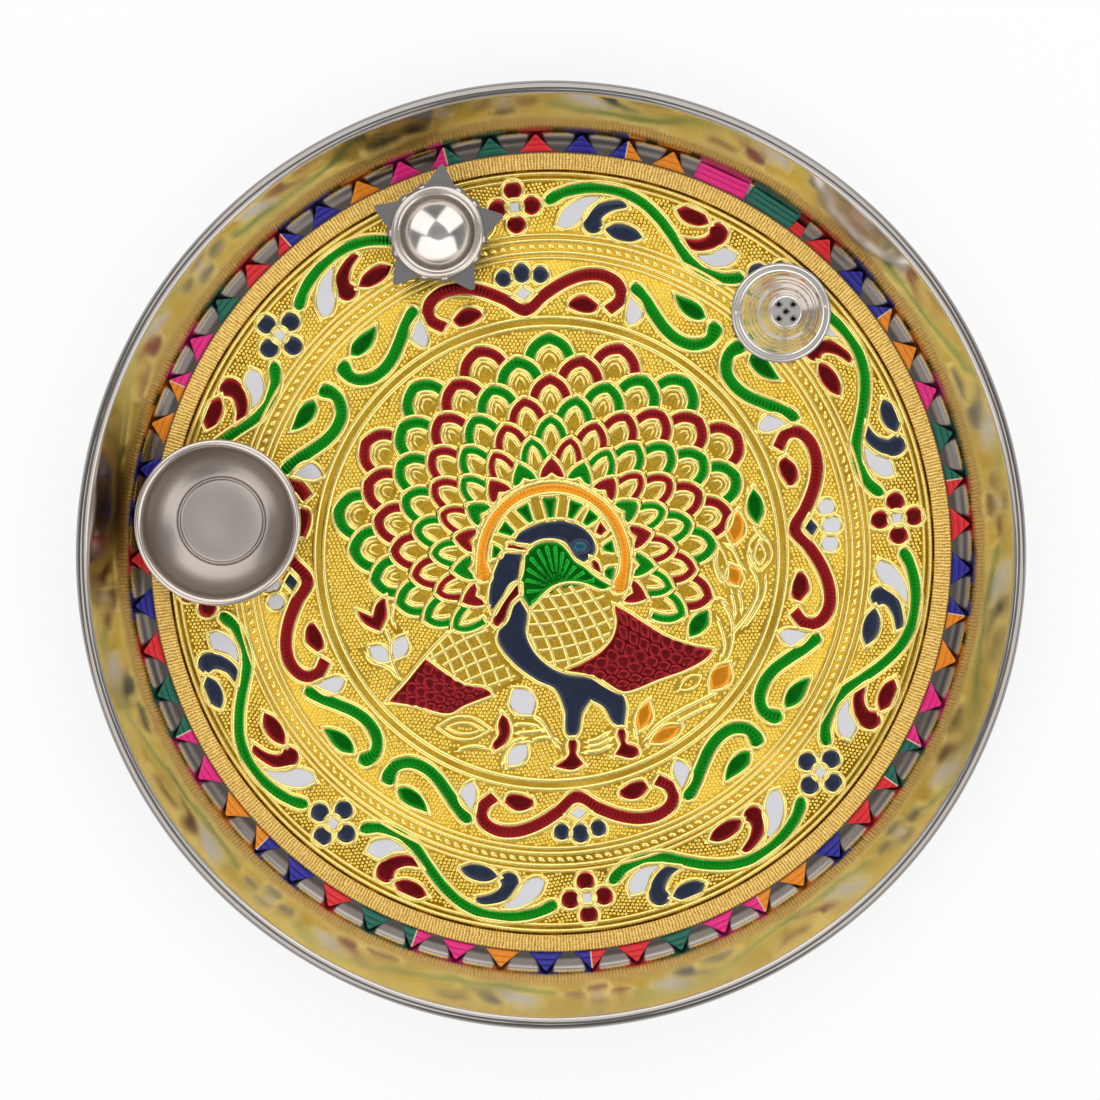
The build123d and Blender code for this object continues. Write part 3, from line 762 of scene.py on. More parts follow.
stem_ridge = (1.9, 0.62)
leaf_ridge = (1.4, 0.52)
stem_shares = (
    ((-0.36, -0.265), (-0.47, -0.36), (-0.57, -0.465), (-0.66, -0.575), (-0.745, -0.66)),
    ((-0.635, -0.6), (-0.68, -0.52), (-0.705, -0.45), (-0.712, -0.36), (-0.742, -0.315)),
    ((-0.66, -0.56), (-0.715, -0.5), (-0.79, -0.47), (-0.825, -0.425)),
    ((-0.68, -0.33), (-0.7, -0.27), (-0.69, -0.2)),
    ((-0.26, -0.77), (-0.18, -0.755), (-0.1, -0.752), (-0.03, -0.77)),
    ((-0.17, -0.79), (-0.09, -0.785), (-0.01, -0.775)),
    ((-0.1, -0.705), (-0.045, -0.735), (0.0, -0.8), (0.045, -0.87)),
    ((-0.115, -0.845), (-0.06, -0.815), (0.0, -0.812), (0.055, -0.84)),
    ((-0.215, -0.945), (-0.205, -0.885), (-0.165, -0.83), (-0.1, -0.805)),
    ((-0.265, -0.862), (-0.34, -0.848), (-0.43, -0.872)),
    ((0.14, -0.83), (0.2, -0.818), (0.27, -0.775)),
    ((0.14, -0.852), (0.21, -0.842), (0.285, -0.8)),
    ((0.13, -0.876), (0.21, -0.868), (0.28, -0.835)),
    ((0.365, -0.735), (0.372, -0.79), (0.385, -0.835)),
    ((0.4, -0.835), (0.47, -0.755), (0.57, -0.69), (0.67, -0.64), (0.745, -0.6)),
    ((0.405, -0.868), (0.5, -0.778), (0.61, -0.712), (0.73, -0.655)),
    ((0.69, -0.625), (0.755, -0.55), (0.815, -0.47)),
    ((0.745, -0.205), (0.785, -0.26), (0.8, -0.34), (0.785, -0.43), (0.75, -0.5)),
    ((0.725, -0.265), (0.752, -0.33), (0.762, -0.4), (0.742, -0.47)),
    ((0.69, -0.205), (0.74, -0.195), (0.79, -0.225)),
    ((0.722, 0.065), (0.718, -0.02), (0.735, -0.09), (0.768, -0.145)),
    ((0.752, 0.055), (0.8, 0.022), (0.832, -0.038), (0.862, -0.085)),
    ((0.862, 0.305), (0.866, 0.22), (0.885, 0.15), (0.905, 0.105), (0.955, 0.045)),
    ((0.862, -0.03), (0.902, -0.1), (0.905, -0.17), (0.875, -0.245), (0.825, -0.315), (0.775, -0.37)),
    ((0.945, -0.08), (0.935, -0.17), (0.895, -0.255), (0.835, -0.335)),
    ((0.788, -0.145), (0.806, -0.22), (0.808, -0.29)),
    ((0.818, -0.14), (0.836, -0.2), (0.838, -0.27)),
    ((0.875, 0.035), (0.88, -0.01), (0.905, -0.06)),
)
gold_leaf_shares = (
    ((-0.26, -0.772), (-0.505, -0.762), 0.046),
    ((-0.3, -0.772), (-0.46, -0.765), 0.022),
    ((0.915, 0.1), (0.918, -0.075), 0.048),
    ((0.915, 0.06), (0.918, -0.045), 0.02),
    ((0.735, 0.045), (0.77, -0.12), 0.02),
    ((0.56, -0.6), (0.66, -0.535), 0.024),
)

stems = [flow(medallion(shares), False) for shares in stem_shares]
for stem in stems:
    add_runs(relief, stem, ~hidden(stem, outlines), False, stem_ridge, taper=True)
for base, tip, half in gold_leaf_shares:
    base, tip = np.array(base), np.array(tip)
    side = leftward(base, tip) * half
    third, far = base + (tip - base) / 3, base + (tip - base) * 2 / 3
    leaf = flow(medallion((base, third - side, far - side, tip, far + side, third + side)), True)
    add_ridge(relief, leaf, True, leaf_ridge)
    stems.append(np.vstack((leaf, leaf[:1])))


# Lattices on the breast and at the root of the tail

lattice_crown = 0.06
lattice_ridge = (1.4, 0.5)
steep_ridge = (1.6, 0.54)
level_pitch_share = 0.058
level_curl_share = 0.55
steep_pitch_share = 0.062
steep_lean_share = 0.2
root_pitch_shares = (0.06, 0.062)
body_hatch_shares = (
    (-0.085, -0.225), (-0.045, -0.185), (0.02, -0.15), (0.085, -0.135), (0.15, -0.14),
    (0.225, -0.165), (0.262, -0.225), (0.275, -0.3), (0.255, -0.365), (0.21, -0.42),
    (0.14, -0.465), (0.06, -0.5), (0.0, -0.485), (-0.055, -0.43), (-0.095, -0.345),
)
tail_root_shares = (
    (-0.295, -0.275), (-0.262, -0.39), (-0.2, -0.49), (-0.135, -0.545), (-0.25, -0.592),
    (-0.38, -0.562), (-0.47, -0.502), (-0.545, -0.445), (-0.46, -0.355), (-0.37, -0.275),
)
falling_shares = ((-0.52, -0.24), (-0.4, -0.44), (-0.32, -0.64))
rising_shares = ((-0.62, -0.64), (-0.38, -0.5), (-0.12, -0.4))


def level_line(index):
    """A line across the breast that curls up at its ends."""
    x = np.linspace(-0.12, 0.3, 7)
    y = -0.135 - level_pitch_share * index + level_curl_share * (x + 0.1) ** 2 + 0.02 * x
    return medallion(np.column_stack((x, y)))


def steep_line(index):
    """A line down the breast that leans over as it falls."""
    t = np.linspace(0, 1, 7)
    x = -0.24 + steep_pitch_share * index + steep_lean_share * (1 - (1 - t) ** 1.6)
    return medallion(np.column_stack((x, -0.12 - 0.4 * t)))


def add_lattice(lines, outline, ridge=lattice_ridge):
    """Ridges along lines, cut off at an outline."""
    for line in lines:
        line = flow(line, False)
        add_runs(relief, line, inside(line, outline) & ~hidden(line, outlines), False, ridge)


body_hatch = flow(medallion(body_hatch_shares), True)[::-1]
add_fill(cells, body_hatch, lattice_crown)
add_lattice([level_line(index) for index in range(8)], body_hatch)
add_lattice([steep_line(index) for index in range(9)], body_hatch, steep_ridge)

tail_root = medallion(tail_root_shares)
add_fill(cells, tail_root, lattice_crown, covers=[arch.region for arch in arches])
root_steps = np.outer(range(-2, 6), root_pitch_shares)
add_lattice([medallion(falling_shares + step * (1, 0)) for step in root_steps], tail_root)
add_lattice([medallion(rising_shares + step * (0, 1)) for step in root_steps], tail_root)


# Ground: rows of small punched dots wherever the foil is bare

dot_pitch = 1.26
dot_radius = 0.52
dot_height = 0.26
dot_sides = 6
dot_sink = 0.02
dot_scatter = 0.13
row_waves = ((1.3, 11), (0.5, 4.7))
column_waves = ((1.3, 10), (0.4, 4.3))
line_margin = 1.25
bead_margin = 1.7
ring_margin = dot_radius * 0.7
halo_reach = 24.5


def sway(along, waves):
    """How far a row of dots swings aside: waves of a height and a length."""
    return sum(height * np.sin(along / length) for height, length in waves)


def bare_places():
    """Middles of the dots: wavy rows, left out where a line, a ring or a field lies."""
    count = math.ceil(2 * foil_radius / dot_pitch / triangle_row_share)
    row, column = np.divmod(np.arange(count * count), count)
    x = (column + row % 2 / 2) * dot_pitch - foil_radius
    y = row * dot_pitch * triangle_row_share - foil_radius
    places = np.column_stack((x + sway(y, row_waves), y + sway(x, column_waves)))
    places += np.random.default_rng(12).uniform(-dot_scatter, dot_scatter, places.shape)
    radius = radii(places)
    bare = (radius < ring_ridges[-1][0]) & (np.abs(radius - bead_radius) > bead_margin)
    for (inner, inner_width), (outer, outer_width) in zip(ring_ridges[::2], ring_ridges[1::2]):
        inner -= inner_width / 2 + ring_margin
        outer += outer_width / 2 + ring_margin
        bare &= (radius < inner) | (radius > outer)
    halo = radii(places, fan_centre) < halo_reach
    bare &= ~(halo & (places[:, 1] > fan_centre[1] - halo_reach / 2))
    lines = [(line, True) for line in (*outlines, body_hatch, tail_root)] + [(stem, False) for stem in stems]
    for line, closed in lines:
        bare[bare] &= ~beside(places[bare], line, closed, line_margin)
    return places[bare]


def add_dots(shape, middles):
    """A small cone on each middle."""
    corners = np.array([polar(dot_radius, 360 * k / dot_sides) for k in range(dot_sides)])
    points = np.zeros((len(middles), dot_sides + 1, 3))
    points[:, :dot_sides, :2] = middles[:, None] + corners
    points[:, dot_sides, :2] = middles
    points[:, :, 2] = foil_top - dot_sink
    points[:, dot_sides, 2] += dot_height
    starts = range(0, len(middles) * (dot_sides + 1), dot_sides + 1)
    faces = [
        (start + k, start + (k + 1) % dot_sides, start + dot_sides)
        for start in starts for k in range(dot_sides)
    ]
    shape.add(points.reshape(-1, 3), faces)


dots = Shape()
add_dots(dots, bare_places())
# Painted light on the one gold foil: the ridges' gold is whiter than the dots' as a painted highlight, and
# the cells' gold darker as painted shade.
add_piece("gold_relief", relief, gold_smooth("gold_bright_painted_highlight", (1.0, 0.8, 0.26), 0.15, 0.14))
add_piece("gold_cells", cells, gold_smooth("gold_cell_painted_shade", (0.55, 0.335, 0.03), 0.22, 0.6))
add_piece("gold_dots", dots, gold_smooth("gold_dots", (1.0, 0.72, 0.13), 0.22, 0.1))


# Feathers of the mantle: raised vanes that spread from its root

mantle_root = medallion((0.03, -0.15))
mantle_tip_shares = (
    (-0.09, -0.215), (-0.112, -0.165), (-0.116, -0.11), (-0.11, -0.06), (-0.094, -0.01),
    (-0.06, 0.026), (-0.022, 0.042), (0.018, 0.042), (0.052, 0.016), (0.078, -0.018),
    (0.108, -0.048), (0.15, -0.075), (0.195, -0.112),
)
vane_share = 0.86
vane_tip_half = 1.0
vane_root_half = 0.3
vane_crown = 0.32
vane_lift = 0.12

vanes = Shape()
for tip in medallion(mantle_tip_shares):
    side = leftward(mantle_root, tip)
    wide, narrow = side * vane_tip_half, side * vane_root_half
    foot = tip * (1 - vane_share) + mantle_root * vane_share
    vane = flow((tip + wide, tip - wide, foot - narrow, foot + narrow), True)
    add_fill(vanes, vane, vane_crown, lift=vane_lift)
green_feather = enamel("green_feather", (0.003, 0.36, 0.022), (0.004, 0.16, 0.012), 0.8)
add_piece("mantle_feathers", vanes, green_feather)


# Feathers of the wing and the skirt: rows of small domed fields

feather_crown = 0.3
feather_lift = 0.16
feather_share = 0.86
feather_lean_share = 0.45
feather_corner = 100
shaft_step = 0.2

feathers = Shape()


def add_plumage(left_shares, right_shares, rows, sag, length):
    """Rows of feathers between two edges, each feather leaning along its row."""
    edges = [flow(medallion(shares), False) for shares in (left_shares, right_shares)]
    shafts = []
    for share in np.linspace(0.0, 1.0, rows):
        start, end = (at(edge, share) for edge in edges)
        shafts.append(flow((start, (start + end) / 2 + np.array(sag), end), False, step=shaft_step))
    for upper, lower in zip(shafts, shafts[1:]):
        count = max(2, round(len(upper) * shaft_step / length))
        for index in range(count):
            near, far = np.array((index, index + 1)) / count
            low_near, low_far = np.clip(np.array((near, far)) + feather_lean_share / count, 0, 1)
            feather = np.array((at(lower, low_near), at(lower, low_far), at(upper, far), at(upper, near)))
            middle = feather.mean(0)
            outline = flow(middle + (feather - middle) * feather_share, True, feather_corner)
            add_fill(feathers, outline, feather_crown, lift=feather_lift)


add_plumage(
    ((0.286, -0.235), (0.286, -0.34), (0.23, -0.43), (0.11, -0.503)),
    ((0.7, -0.425), (0.6, -0.495), (0.47, -0.55), (0.35, -0.6)),
    rows=7, sag=(-0.6, -1.0), length=4.2,
)
add_plumage(
    ((-0.555, -0.465), (-0.62, -0.55), (-0.7, -0.645)),
    ((-0.275, -0.605), (-0.36, -0.645), (-0.45, -0.7)),
    rows=5, sag=(-0.3, -0.8), length=3.6,
)
maroon_feather = enamel("maroon_feather", (0.22, 0.005, 0.009), (0.42, 0.014, 0.018), 0.8)
add_piece("wing_feathers", feathers, maroon_feather)


# The bird's eye: an oval inside two raised rings

eye_centre = medallion((0.128, 0.035))
eye_halves = (2.0, 1.45)
eye_crown = 0.16
eye_lift = 0.24
eye_ring_growths = (1.25, 1.62)
eye_ring_ridge = (0.45, 0.44)

turns = np.linspace(0, 2 * math.pi, 24, False)
eye_oval = eye_centre + np.column_stack((np.cos(turns), np.sin(turns))) * eye_halves
eye = Shape()
add_fill(eye, eye_oval, eye_crown, lift=eye_lift)
eye_rings = Shape()
for growth in eye_ring_growths:
    add_ridge(eye_rings, eye_centre + (eye_oval - eye_centre) * growth, True, eye_ring_ridge)
navy_ring = enamel("navy_feather", (0.03, 0.05, 0.1), (0.07, 0.1, 0.16), 0.4)
teal = enamel("teal_enamel", (0.01, 0.1, 0.16), (0.02, 0.16, 0.22), 0.5)
add_piece("eye_rings", eye_rings, navy_ring)
add_piece("eye", eye, teal)


# Tray: floor, cove, leaning wall and rolled rim

wall_in = np.array((-math.cos(wall_lean), math.sin(wall_lean)))
rim_centre = np.array((tray_radius - rim_roll_radius, tray_height - rim_roll_radius))
wall_top = rim_centre + wall_in * rim_roll_radius
floor_edge = wall_top[0] - (wall_top[1] - tray_sheet) * math.tan(wall_lean)
cove_turn = math.pi / 2 - wall_lean
cove_centre = np.array((floor_edge - cove_radius * math.tan(cove_turn / 2), tray_sheet + cove_radius))
roll_start = math.pi - wall_lean
roll_turn = 1.86 * math.pi
outside_share = 0.985
floor_radii = (0.5, 60.0, 118.0)
cove_steps = 12
roll_steps = 44
wall_shares = np.linspace(0.12, 0.97, 8)
shade_ring_margins = (3.0, 0.5)
lip_margin = 0.6


def arc(centre, radius, turns):
    return [centre + radius * np.array((math.cos(t), math.sin(t))) for t in turns]


cove_turns = np.linspace(-math.pi / 2, cove_turn - math.pi / 2, cove_steps)
inner_cove = arc(cove_centre, cove_radius, cove_turns)
outer_cove = arc(cove_centre, cove_radius + tray_sheet, cove_turns)
wall_line = [inner_cove[-1] + (wall_top - inner_cove[-1]) * share for share in wall_shares]
roll = arc(rim_centre, rim_roll_radius, np.linspace(roll_start, roll_start - roll_turn, roll_steps))
outside = outer_cove[-1] + (roll[-1] - outer_cove[-1]) * outside_share
tray_profile = [
    *((radius, tray_sheet) for radius in floor_radii), *inner_cove, *wall_line, *roll,
    outside, *outer_cove[::-1], *((radius, 0.0) for radius in floor_radii[1::-1]),
]
tray = Shape()
add_turned(tray, tray_profile, segments=256, caps=2)
tray_steel = Steel("tray_steel", (0.645, 0.595, 0.555), 0.11)
# Painted shade: the cove under the lace is darkened as if it lay in shade.
tray_steel.painted_shade_ring(foil_radius + shade_ring_margins[0], floor_edge - shade_ring_margins[1])
# Painted shade: the rolled rim is darkened to 0.55 of the steel's colour.
tray_steel.smooth_lip_painted_light(wall_top[0] + lip_margin, 0.55)
tray_steel.ripples(0.1)
add_piece("tray", tray, tray_steel, ("plate",))


# Lace: the woven braid

braid_inner = radii(node_points("lace_braid")).min()
braid_outer, _, braid_top = node_box("lace_braid")[1]
braid_width = braid_outer - braid_inner
braid_drops = (
    (0.0, -0.9), (0.0, -0.25), (0.07, 0.0), (0.16, -0.16), (0.3, -0.04), (0.5, 0.0),
    (0.7, -0.04), (0.84, -0.16), (0.93, 0.0), (1.0, -0.25), (1.0, -0.9),
)
pucker_waves = ((0.05, 37, 0), (0.04, 90, 40))
pucker_growth = 1.5
braid_segments = 540
braid_sink = 0.02

braid_points, braid_uvs = [], []
for index in range(braid_segments + 1):
    angle = 360 * index / braid_segments
    pucker = sum(h * math.sin(math.radians(angle * waves + start)) for h, waves, start in pucker_waves)
    for share, drop in braid_drops:
        place = polar(braid_inner + share * braid_width, angle)
        braid_points.append((*place, braid_top + drop + min(pucker, 0) * pucker_growth - braid_sink))
        braid_uvs.append((math.radians(angle) * braid_outer, share * braid_width))
braid = Shape()
braid.add(braid_points, grid_faces(braid_segments + 1, len(braid_drops), flip=True), braid_uvs)
add_piece("braid", braid, braid_gold(), ("lace_braid",))


# Lace: folded ribbon points, a loose end and two flat ends

ribbon_colours = {
    "R": ("red", (0.88, 0.02, 0.03)),
    "B": ("blue", (0.022, 0.018, 0.34)),
    "O": ("orange", (1.0, 0.31, 0.008)),
    "P": ("pink", (0.95, 0.018, 0.27)),
    "G": ("green", (0.006, 0.15, 0.1)),
}
point_colours = (
    "R B BO O P G GR R B BO O P PG GR R B O OP P G R RB B O P PG G "
    "R B BO O P PG G R B R B B O OP P G R RB B O P PG G R B BO O"
).split()
point_root_half = 5.5
point_tip_half = 0.35
point_reach = (0.93, 1.0)
root_inset = 0.1
root_slack = 0.6
tip_slack = 0.2
layer_shares = (0.0, 0.37, 0.7, 1.0)
layer_lift = 0.62
layer_start = ((0.0, 0.12), (0.02, 0.3))
layer_end = ((-0.05, layer_lift), (0.0, layer_lift - 0.1), (0.0, 0.0))
thread_run = 6.0
fold_shares = (0.0, 0.55, 0.93, 1.0)
scrap_letter, scrap_angle, scrap_half = "R", 52.9, 2.4
scrap_reach = 0.6
scrap_taper = 0.8
seam_shares = (0.02, 0.5, 0.98)
seam_half = 0.22
seam_lift = layer_lift + 0.05
flap_angles = {"P": 65.5, "G": 57.5}
flap_half = 8.8
flap_length = 5.0
flap_drop = 0.35

ribbons = {letter: Shape() for letter in ribbon_colours}
seams = Shape()


def lace_angles(node, slack=0.5, least_step=0.5):
    """Angles of the pieces of a lace node, clockwise from the end of the widest gap."""
    points = node_points(node)
    radius = radii(points)
    tips = points[radius > radius.max() - slack]
    angles = sorted(set(np.round(np.degrees(np.arctan2(tips[:, 1], tips[:, 0])) % 360, 1)), reverse=True)
    angles = [a for a, b in zip(angles, angles[-1:] + angles[:-1]) if abs(a - b) % 360 > least_step]
    gap_end = max(range(len(angles)), key=lambda i: (angles[i - 1] - angles[i]) % 360)
    return angles[gap_end:] + angles[:gap_end]


def add_ribbon(letter, angle, root, tip, half_root, half_tip):
    """A folded ribbon piece: two sides of three layers, each lying on the one before it.

    Two letters give the two sides a colour each. Root and tip are radius and height.
    """
    outward = polar(1.0, angle)
    for side, shape in ((1, ribbons[letter[0]]), (-1, ribbons[letter[-1]])):
        across = polar(1.0, angle + 90) * side
        for near, far in zip(layer_shares, layer_shares[1:]):
            lifts = [(near + on, lift) for on, lift in layer_start]
            lifts += [(far + on, lift) for on, lift in layer_end]
            points, uvs = [], []
            for share, lift in lifts:
                radius, height = root + (tip - root) * share
                half = half_root + (half_tip - half_root) * share
                for out in fold_shares:
                    sag = lift if out == fold_shares[-1] else 0.0
                    points.append((*(outward * radius + across * half * out), height + lift - sag))
                    uvs.append((side * half * out + angle, share * thread_run))
            shape.add(points, grid_faces(len(lifts), len(fold_shares), flip=side < 0), uvs)


def add_seam(angle, root, tip):
    """The pale edge where two ribbons of other colours meet on a point."""
    across = polar(seam_half, angle + 90)
    stops = [root + (tip - root) * share for share in seam_shares]
    for ends in zip(stops, stops[1:]):
        corners = [(*(polar(r, angle) + across * s), z + seam_lift) for r, z in ends for s in (-1, 1)]
        seams.add(corners, [(0, 2, 3, 1)])


lace = node_points("lace_points")
lace_radius = radii(lace)
lace_inner, lace_outer = lace_radius.min(), lace_radius.max()
root = np.array((lace_inner + root_inset, lace[lace_radius < lace_inner + root_slack][:, 2].min()))
tip = np.array((lace_outer, lace[lace_radius > lace_outer - tip_slack][:, 2].min()))
scrap_end = root + (tip - root) * scrap_reach
add_ribbon(scrap_letter, scrap_angle, root, scrap_end, scrap_half, scrap_half * scrap_taper)
for angle, letters in zip(lace_angles("lace_points"), point_colours):
    end = root + (tip - root) * rng.uniform(*point_reach)
    add_ribbon(letters, angle, root, end, point_root_half, point_tip_half)
    if len(letters) > 1:
        add_seam(angle, root, end)

flap_heights = node_points("lace_flaps")[:, 2]
flap_root = np.array((root[0], flap_heights.min()))
flap_tip = np.array((root[0] + flap_length, flap_heights.max() - flap_drop))
for letter, angle in flap_angles.items():
    add_ribbon(letter, angle, flap_root, flap_tip, flap_half, flap_half)
for letter, (word, colour) in ribbon_colours.items():
    replaced = ("lace_points", "lace_flaps") if letter in flap_angles else ("lace_points",)
    satin = ribbon("ribbon_" + word, colour)
    add_piece("ribbon_" + word, ribbons[letter], satin, replaced)
add_piece("ribbon_seams", seams, ribbon("ribbon_pale", (0.8, 0.62, 0.36)))


# Katori: a bowl with a pressed ring in its floor and a rolled lip

katori_centre, katori_base = standing("katori")
katori_high = node_box("katori")[1]
katori_radius = katori_high[0] - katori_centre[0]
katori_height = katori_high[2] - katori_base
katori_drawn = (26.5, 15.5)
katori_lip_share = 0.9
katori_outline = (
    (0.4, 0.7), (12.6, 0.7), (13.1, 0.82), (13.5, 1.4), (14.0, 1.4), (14.35, 0.85), (14.9, 0.95),
    (16.6, 1.75), (19.0, 3.4), (21.4, 6.0), (23.0, 9.2), (23.7, 12.6), (24.0, 14.3), (24.5, 15.1),
    (25.4, 15.46), (26.2, 15.15), (26.5, 14.5), (26.2, 13.9), (25.3, 13.75), (24.75, 12.6),
    (24.0, 9.4), (22.3, 5.8), (19.6, 2.7), (17.0, 0.9), (15.4, 0.15), (14.4, 0.0), (0.4, 0.0),
)

katori_scale = (katori_radius / katori_drawn[0], katori_height / katori_drawn[1])
katori_profile = flow(np.array(katori_outline) * katori_scale, False, corner=80, step=0.35)
bowl = Shape()
add_turned(bowl, katori_profile, katori_centre, katori_base, 160, caps=2)
katori_steel = Steel("katori_steel", (0.46, 0.41, 0.37), 0.34, katori_centre, marks=0.25, smudge=0.05)
# Painted highlight: the katori's lip is brightened to 1.35 times the steel's colour, and made smoother.
katori_steel.smooth_lip_painted_light(katori_radius * katori_lip_share, 1.35)
add_piece("katori_bowl", bowl, katori_steel, ("katori",), "katori")


# Diya: a polished cup whose lip is crimped over the star collar

diya_centre, diya_base = standing("diya_cup")
diya_outline = (
    (0.3, 0.62), (3.0, 0.8), (5.6, 1.55), (8.2, 2.85), (9.8, 4.05), (10.9, 5.7), (11.6, 7.9), (11.9, 9.6),
    (12.25, 10.15), (12.6, 10.3), (12.85, 10.9), (13.2, 11.65), (13.75, 12.0), (14.35, 11.75),
    (14.75, 11.15), (14.78, 10.6), (14.4, 10.28), (13.3, 10.22), (12.95, 9.8), (12.4, 6.6),
    (11.3, 3.1), (8.8, 1.4), (6.0, 0.0), (0.3, 0.0),
)
petal_count = 5
petal_first_angle = 14.0
crimp_radius = 14.75
crimp_height = 10.5
crimp_turns = (-13.0, 13.0)
crimp_halves = (0.75, 1.3, 0.9)

cup = Shape()
add_turned(cup, flow(diya_outline, False, corner=80, step=0.3), diya_centre, diya_base, 144, caps=2)
for index in range(petal_count):
    for turn in crimp_turns:
        angle = petal_first_angle + 360 / petal_count * (index + 0.5) + turn
        x, y = diya_centre + polar(crimp_radius, angle)
        add_lens(cup, (x, y, diya_base + crimp_height), crimp_halves, angle)
cup_steel = Steel("diya_steel", (0.73, 0.685, 0.64), 0.15, diya_centre, marks=0.06, smudge=0.05)
add_piece("diya_bowl", cup, cup_steel, ("diya_cup",), "diya")


# Incense holder: a stepped dome with spun rings, stick holes and spot welds

incense_centre = standing("incense_dome")[0]
incense_base = standing("incense_base")[1]
dome_top = 24.98
dome_flat_radius = 4.2
dome_outline = (
    (dome_flat_radius, dome_top), (4.75, 24.95), (5.1, 24.6), (5.9, 23.4), (6.7, 22.55), (7.0, 22.0),
    (7.15, 21.2), (7.9, 20.2), (9.0, 18.6), (9.55, 17.6), (9.75, 16.6), (10.4, 15.4), (11.6, 12.9),
    (12.4, 10.4), (12.8, 6.5), (13.0, 2.2), (13.25, 1.35), (13.6, incense_flange_top),
    (15.3, incense_flange_top), (15.55, 1.1), (15.6, 0.85), (15.5, 0.62), (14.0, 0.6),
)
spun_depth = 0.16
spun_pitch = 3.0
spun_heights = (5.0, 24.4)
top_ring_inset = 0.3
hole_ring_growth = 1.35
hole_clear_share = 0.97
hole_lip_shares = ((0.66, -3.0), (0.8, -0.6), (0.86, -0.12), (1.0, 0.0), (1.22, 0.0), (1.3, -0.05))
weld_radius = 14.4
weld_angles = (180.0, 8.0)
weld_halves = (0.5, 0.6, 0.28)
weld_sink = 0.05


def spun_profile():
    """The dome's profile with shallow rings all the way down."""
    profile = flow(dome_outline, False, corner=80, step=0.2)
    steps = np.linalg.norm(np.diff(profile, axis=0), axis=1)
    along = np.concatenate(((0.0,), np.cumsum(steps)))
    low, high = spun_heights
    spun = np.where((profile[:, 1] < high) & (profile[:, 1] > low), spun_depth, 0.0)
    profile[:, 0] -= spun * (1 + np.sin(2 * math.pi * along / spun_pitch))
    return profile


def add_holed_top(shape, hole_centres):
    """The dome's flat top, open at each stick hole."""
    circle = np.array([polar(1.0, a) for a in np.linspace(0, 360, 96, endpoint=False)])
    hole = circle[::4] * stick_hole_radius
    seeds = [circle * dome_flat_radius, circle * (dome_flat_radius - top_ring_inset)]
    seeds += [c + hole for c in hole_centres] + [c + hole * hole_ring_growth for c in hole_centres]
    flat, faces = triangulate(np.vstack(seeds), len(circle))
    middles = flat[faces].mean(1)
    clear = [radii(middles, c) > stick_hole_radius * hole_clear_share for c in hole_centres]
    points = np.column_stack((flat + incense_centre, np.full(len(flat), incense_base + dome_top)))
    shape.add(points, faces[np.all(clear, axis=0)].tolist())


holder = Shape()
add_turned(holder, spun_profile(), incense_centre, incense_base, 144)
hole_centres = [np.zeros(2)] + [polar(stick_hole_circle, 45 + 90 * n) for n in range(4)]
add_holed_top(holder, hole_centres)
hole_lip = [(share * stick_hole_radius, dome_top + drop) for share, drop in hole_lip_shares]
for hole_centre in hole_centres:
    add_turned(holder, hole_lip, incense_centre + hole_centre, incense_base, 24)
for angle in weld_angles:
    x, y = incense_centre + polar(weld_radius, angle)
    add_lens(holder, (x, y, incense_base + incense_flange_top - weld_sink), weld_halves, angle)
dome_steel = Steel("dome_steel", (0.9, 0.855, 0.8), 0.11, incense_centre, 0.2, 0.04, metallic=0.85)
add_piece("incense_holder", holder, dome_steel, ("incense_dome",), "incense_holder")


# Finishes of the nodes that show as they are

node_steels = {
    # Painted shade: the petals' steel is made far darker than the cup's, standing in for the dark that flat
    # steel reflects from overhead.
    "diya_petals": Steel("petal_steel_painted_shade", (0.23, 0.22, 0.22), 0.32, diya_centre, marks=0.12, smudge=0.08),
    "incense_base": Steel("base_steel", (0.52, 0.5, 0.49), 0.28, incense_centre, marks=0.2),
}
for node, surface in node_steels.items():
    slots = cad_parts[node].data.materials
    slots.clear()
    slots.append(surface.material)


# Floor

floor_half = 4.0
floor_depth = 0.0004
floor_signs = ((-1, -1), (1, -1), (1, 1), (-1, 1))
floor_corners = [(x * floor_half, y * floor_half, -floor_depth) for x, y in floor_signs]
floor_mesh = bpy.data.meshes.new("floor")
floor_mesh.from_pydata(floor_corners, [], [(0, 1, 2, 3)])
floor_mesh.materials.append(floor_white().material)
floor = bpy.data.objects.new("floor", floor_mesh)
bpy.context.scene.collection.objects.link(floor)


# Light: a soft sky, paler at its foot, and three softboxes

sky_stops = (
    (0.0, 0.5), (0.5, 0.6), (0.56, 0.5), (0.7, 0.3), (0.88, 0.22),
    (0.97, 0.4), (0.99, 0.44), (0.998, 0.36), (1.0, 0.32),
)
box_elevation = 46
box_distance = 1.7


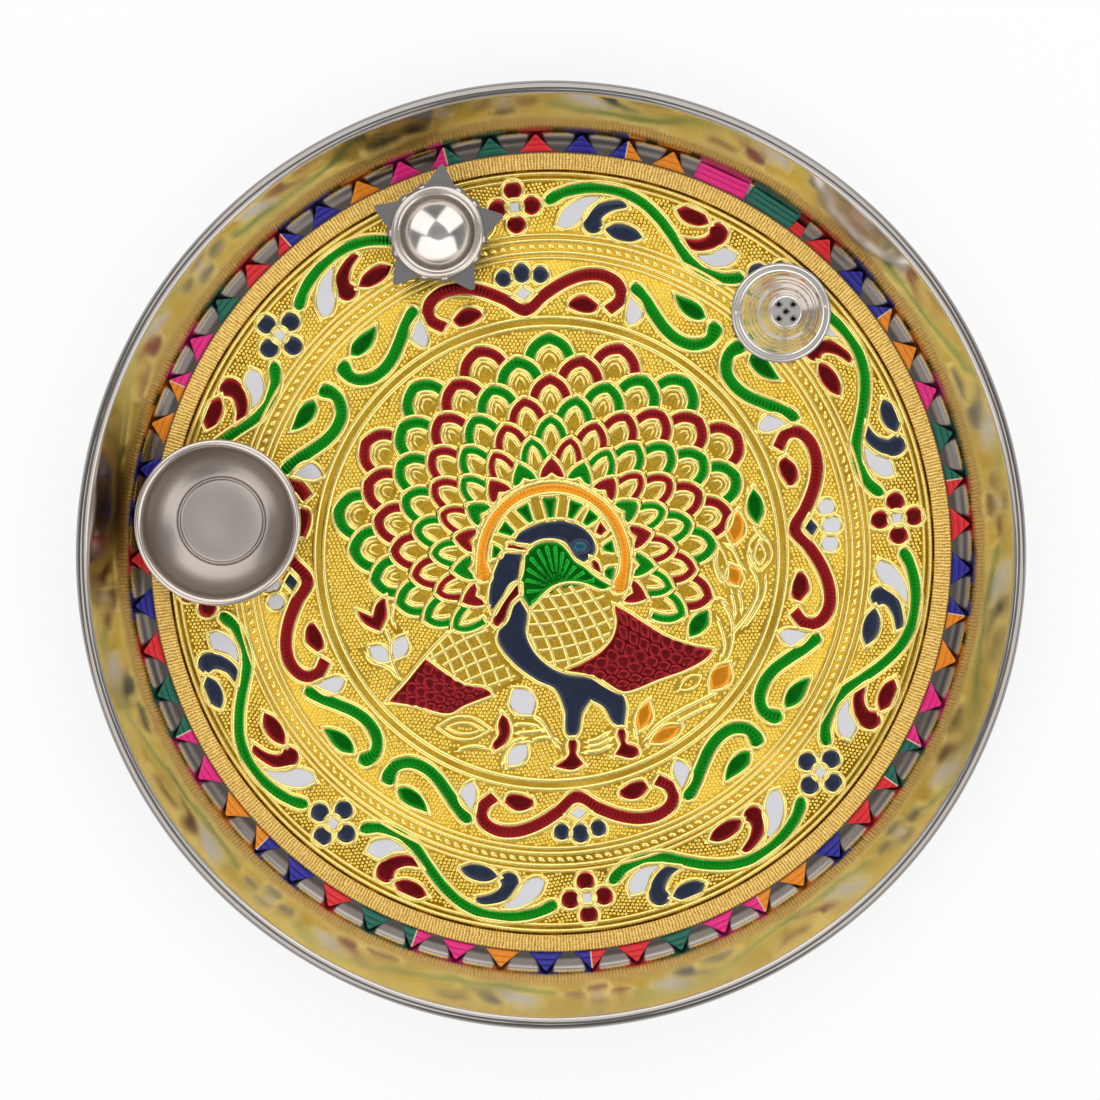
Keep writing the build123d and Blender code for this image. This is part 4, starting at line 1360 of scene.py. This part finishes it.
def light_sky():
    """A world that lights softly and is white to the camera."""
    world = bpy.data.worlds.new("studio")
    bpy.context.scene.world = world
    sky = Nodes(world)
    climb = sky.split(sky.put("TexCoord").outputs["Generated"])["Z"]
    ramp = sky.put("ValToRGB", {"Fac": sky.remap(climb, -1.0, 1.0, 0.0, 1.0)})
    elements = ramp.color_ramp.elements
    while len(elements) < len(sky_stops):
        elements.new(0.5)
    for element, (position, level) in zip(elements, sky_stops):
        element.position = position
        element.color = (level, level, level, 1.0)
    camera_rays = sky.put("LightPath").outputs["Is Camera Ray"]
    background = sky.tree.nodes["Background"].inputs
    sky.feed(background["Color"], sky.mix(camera_rays, ramp.outputs["Color"], (1.0, 1.0, 1.0)))
    sky.feed(background["Strength"], sky.remap(sky.seen_rays(), 0.0, 1.0, 0.6, 1.0))


def softbox(name, azimuth, size, power):
    """A lamp with a rectangular face, turned to the middle of the part."""
    light = bpy.data.lights.new(name, "AREA")
    light.shape = "RECTANGLE"
    light.size, light.size_y = size
    light.energy = power
    lamp = bpy.data.objects.new(name, light)
    bpy.context.scene.collection.objects.link(lamp)
    a, e = math.radians(azimuth), math.radians(box_elevation)
    lamp.location = box_distance * Vector((math.cos(a) * math.cos(e), math.sin(a) * math.cos(e), math.sin(e)))
    lamp.rotation_euler = (-lamp.location).to_track_quat("-Z", "Y").to_euler()


light_sky()
softbox("window", azimuth=90, size=(3.1, 2.0), power=24)
softbox("left_box", azimuth=222, size=(1.5, 1.75), power=10)
softbox("right_box", azimuth=330, size=(1.5, 1.75), power=10)


# Camera, at the photograph's angle: lengths in pixels of the picture, and in millimetres

picture = 1100
focal = 3415.0
shift_right, shift_down = 1.0, 4.5
camera_distance = 1100.0
camera_tilt = math.radians(3.1)

aim = np.array((0.0, 0.0, foil_top))
look = np.array((0.0, -math.sin(camera_tilt), -math.cos(camera_tilt)))
upward = np.array((0.0, math.cos(camera_tilt), -math.sin(camera_tilt)))
per_pixel = camera_distance / focal
stand = aim - look * camera_distance
stand = stand + upward * shift_down * per_pixel - np.array((shift_right * per_pixel, 0, 0))
lens = bpy.data.cameras.new("camera")
lens.angle = 2 * math.atan(picture / 2 / focal)
lens.clip_start = 0.01
camera = bpy.data.objects.new("camera", lens)
bpy.context.scene.collection.objects.link(camera)
camera.location = Vector(stand) * MM
camera.rotation_euler = (-camera_tilt, 0.0, 0.0)
bpy.context.scene.camera = camera
bpy.context.scene.view_settings.view_transform = "Standard"

bpy.context.view_layer.update()
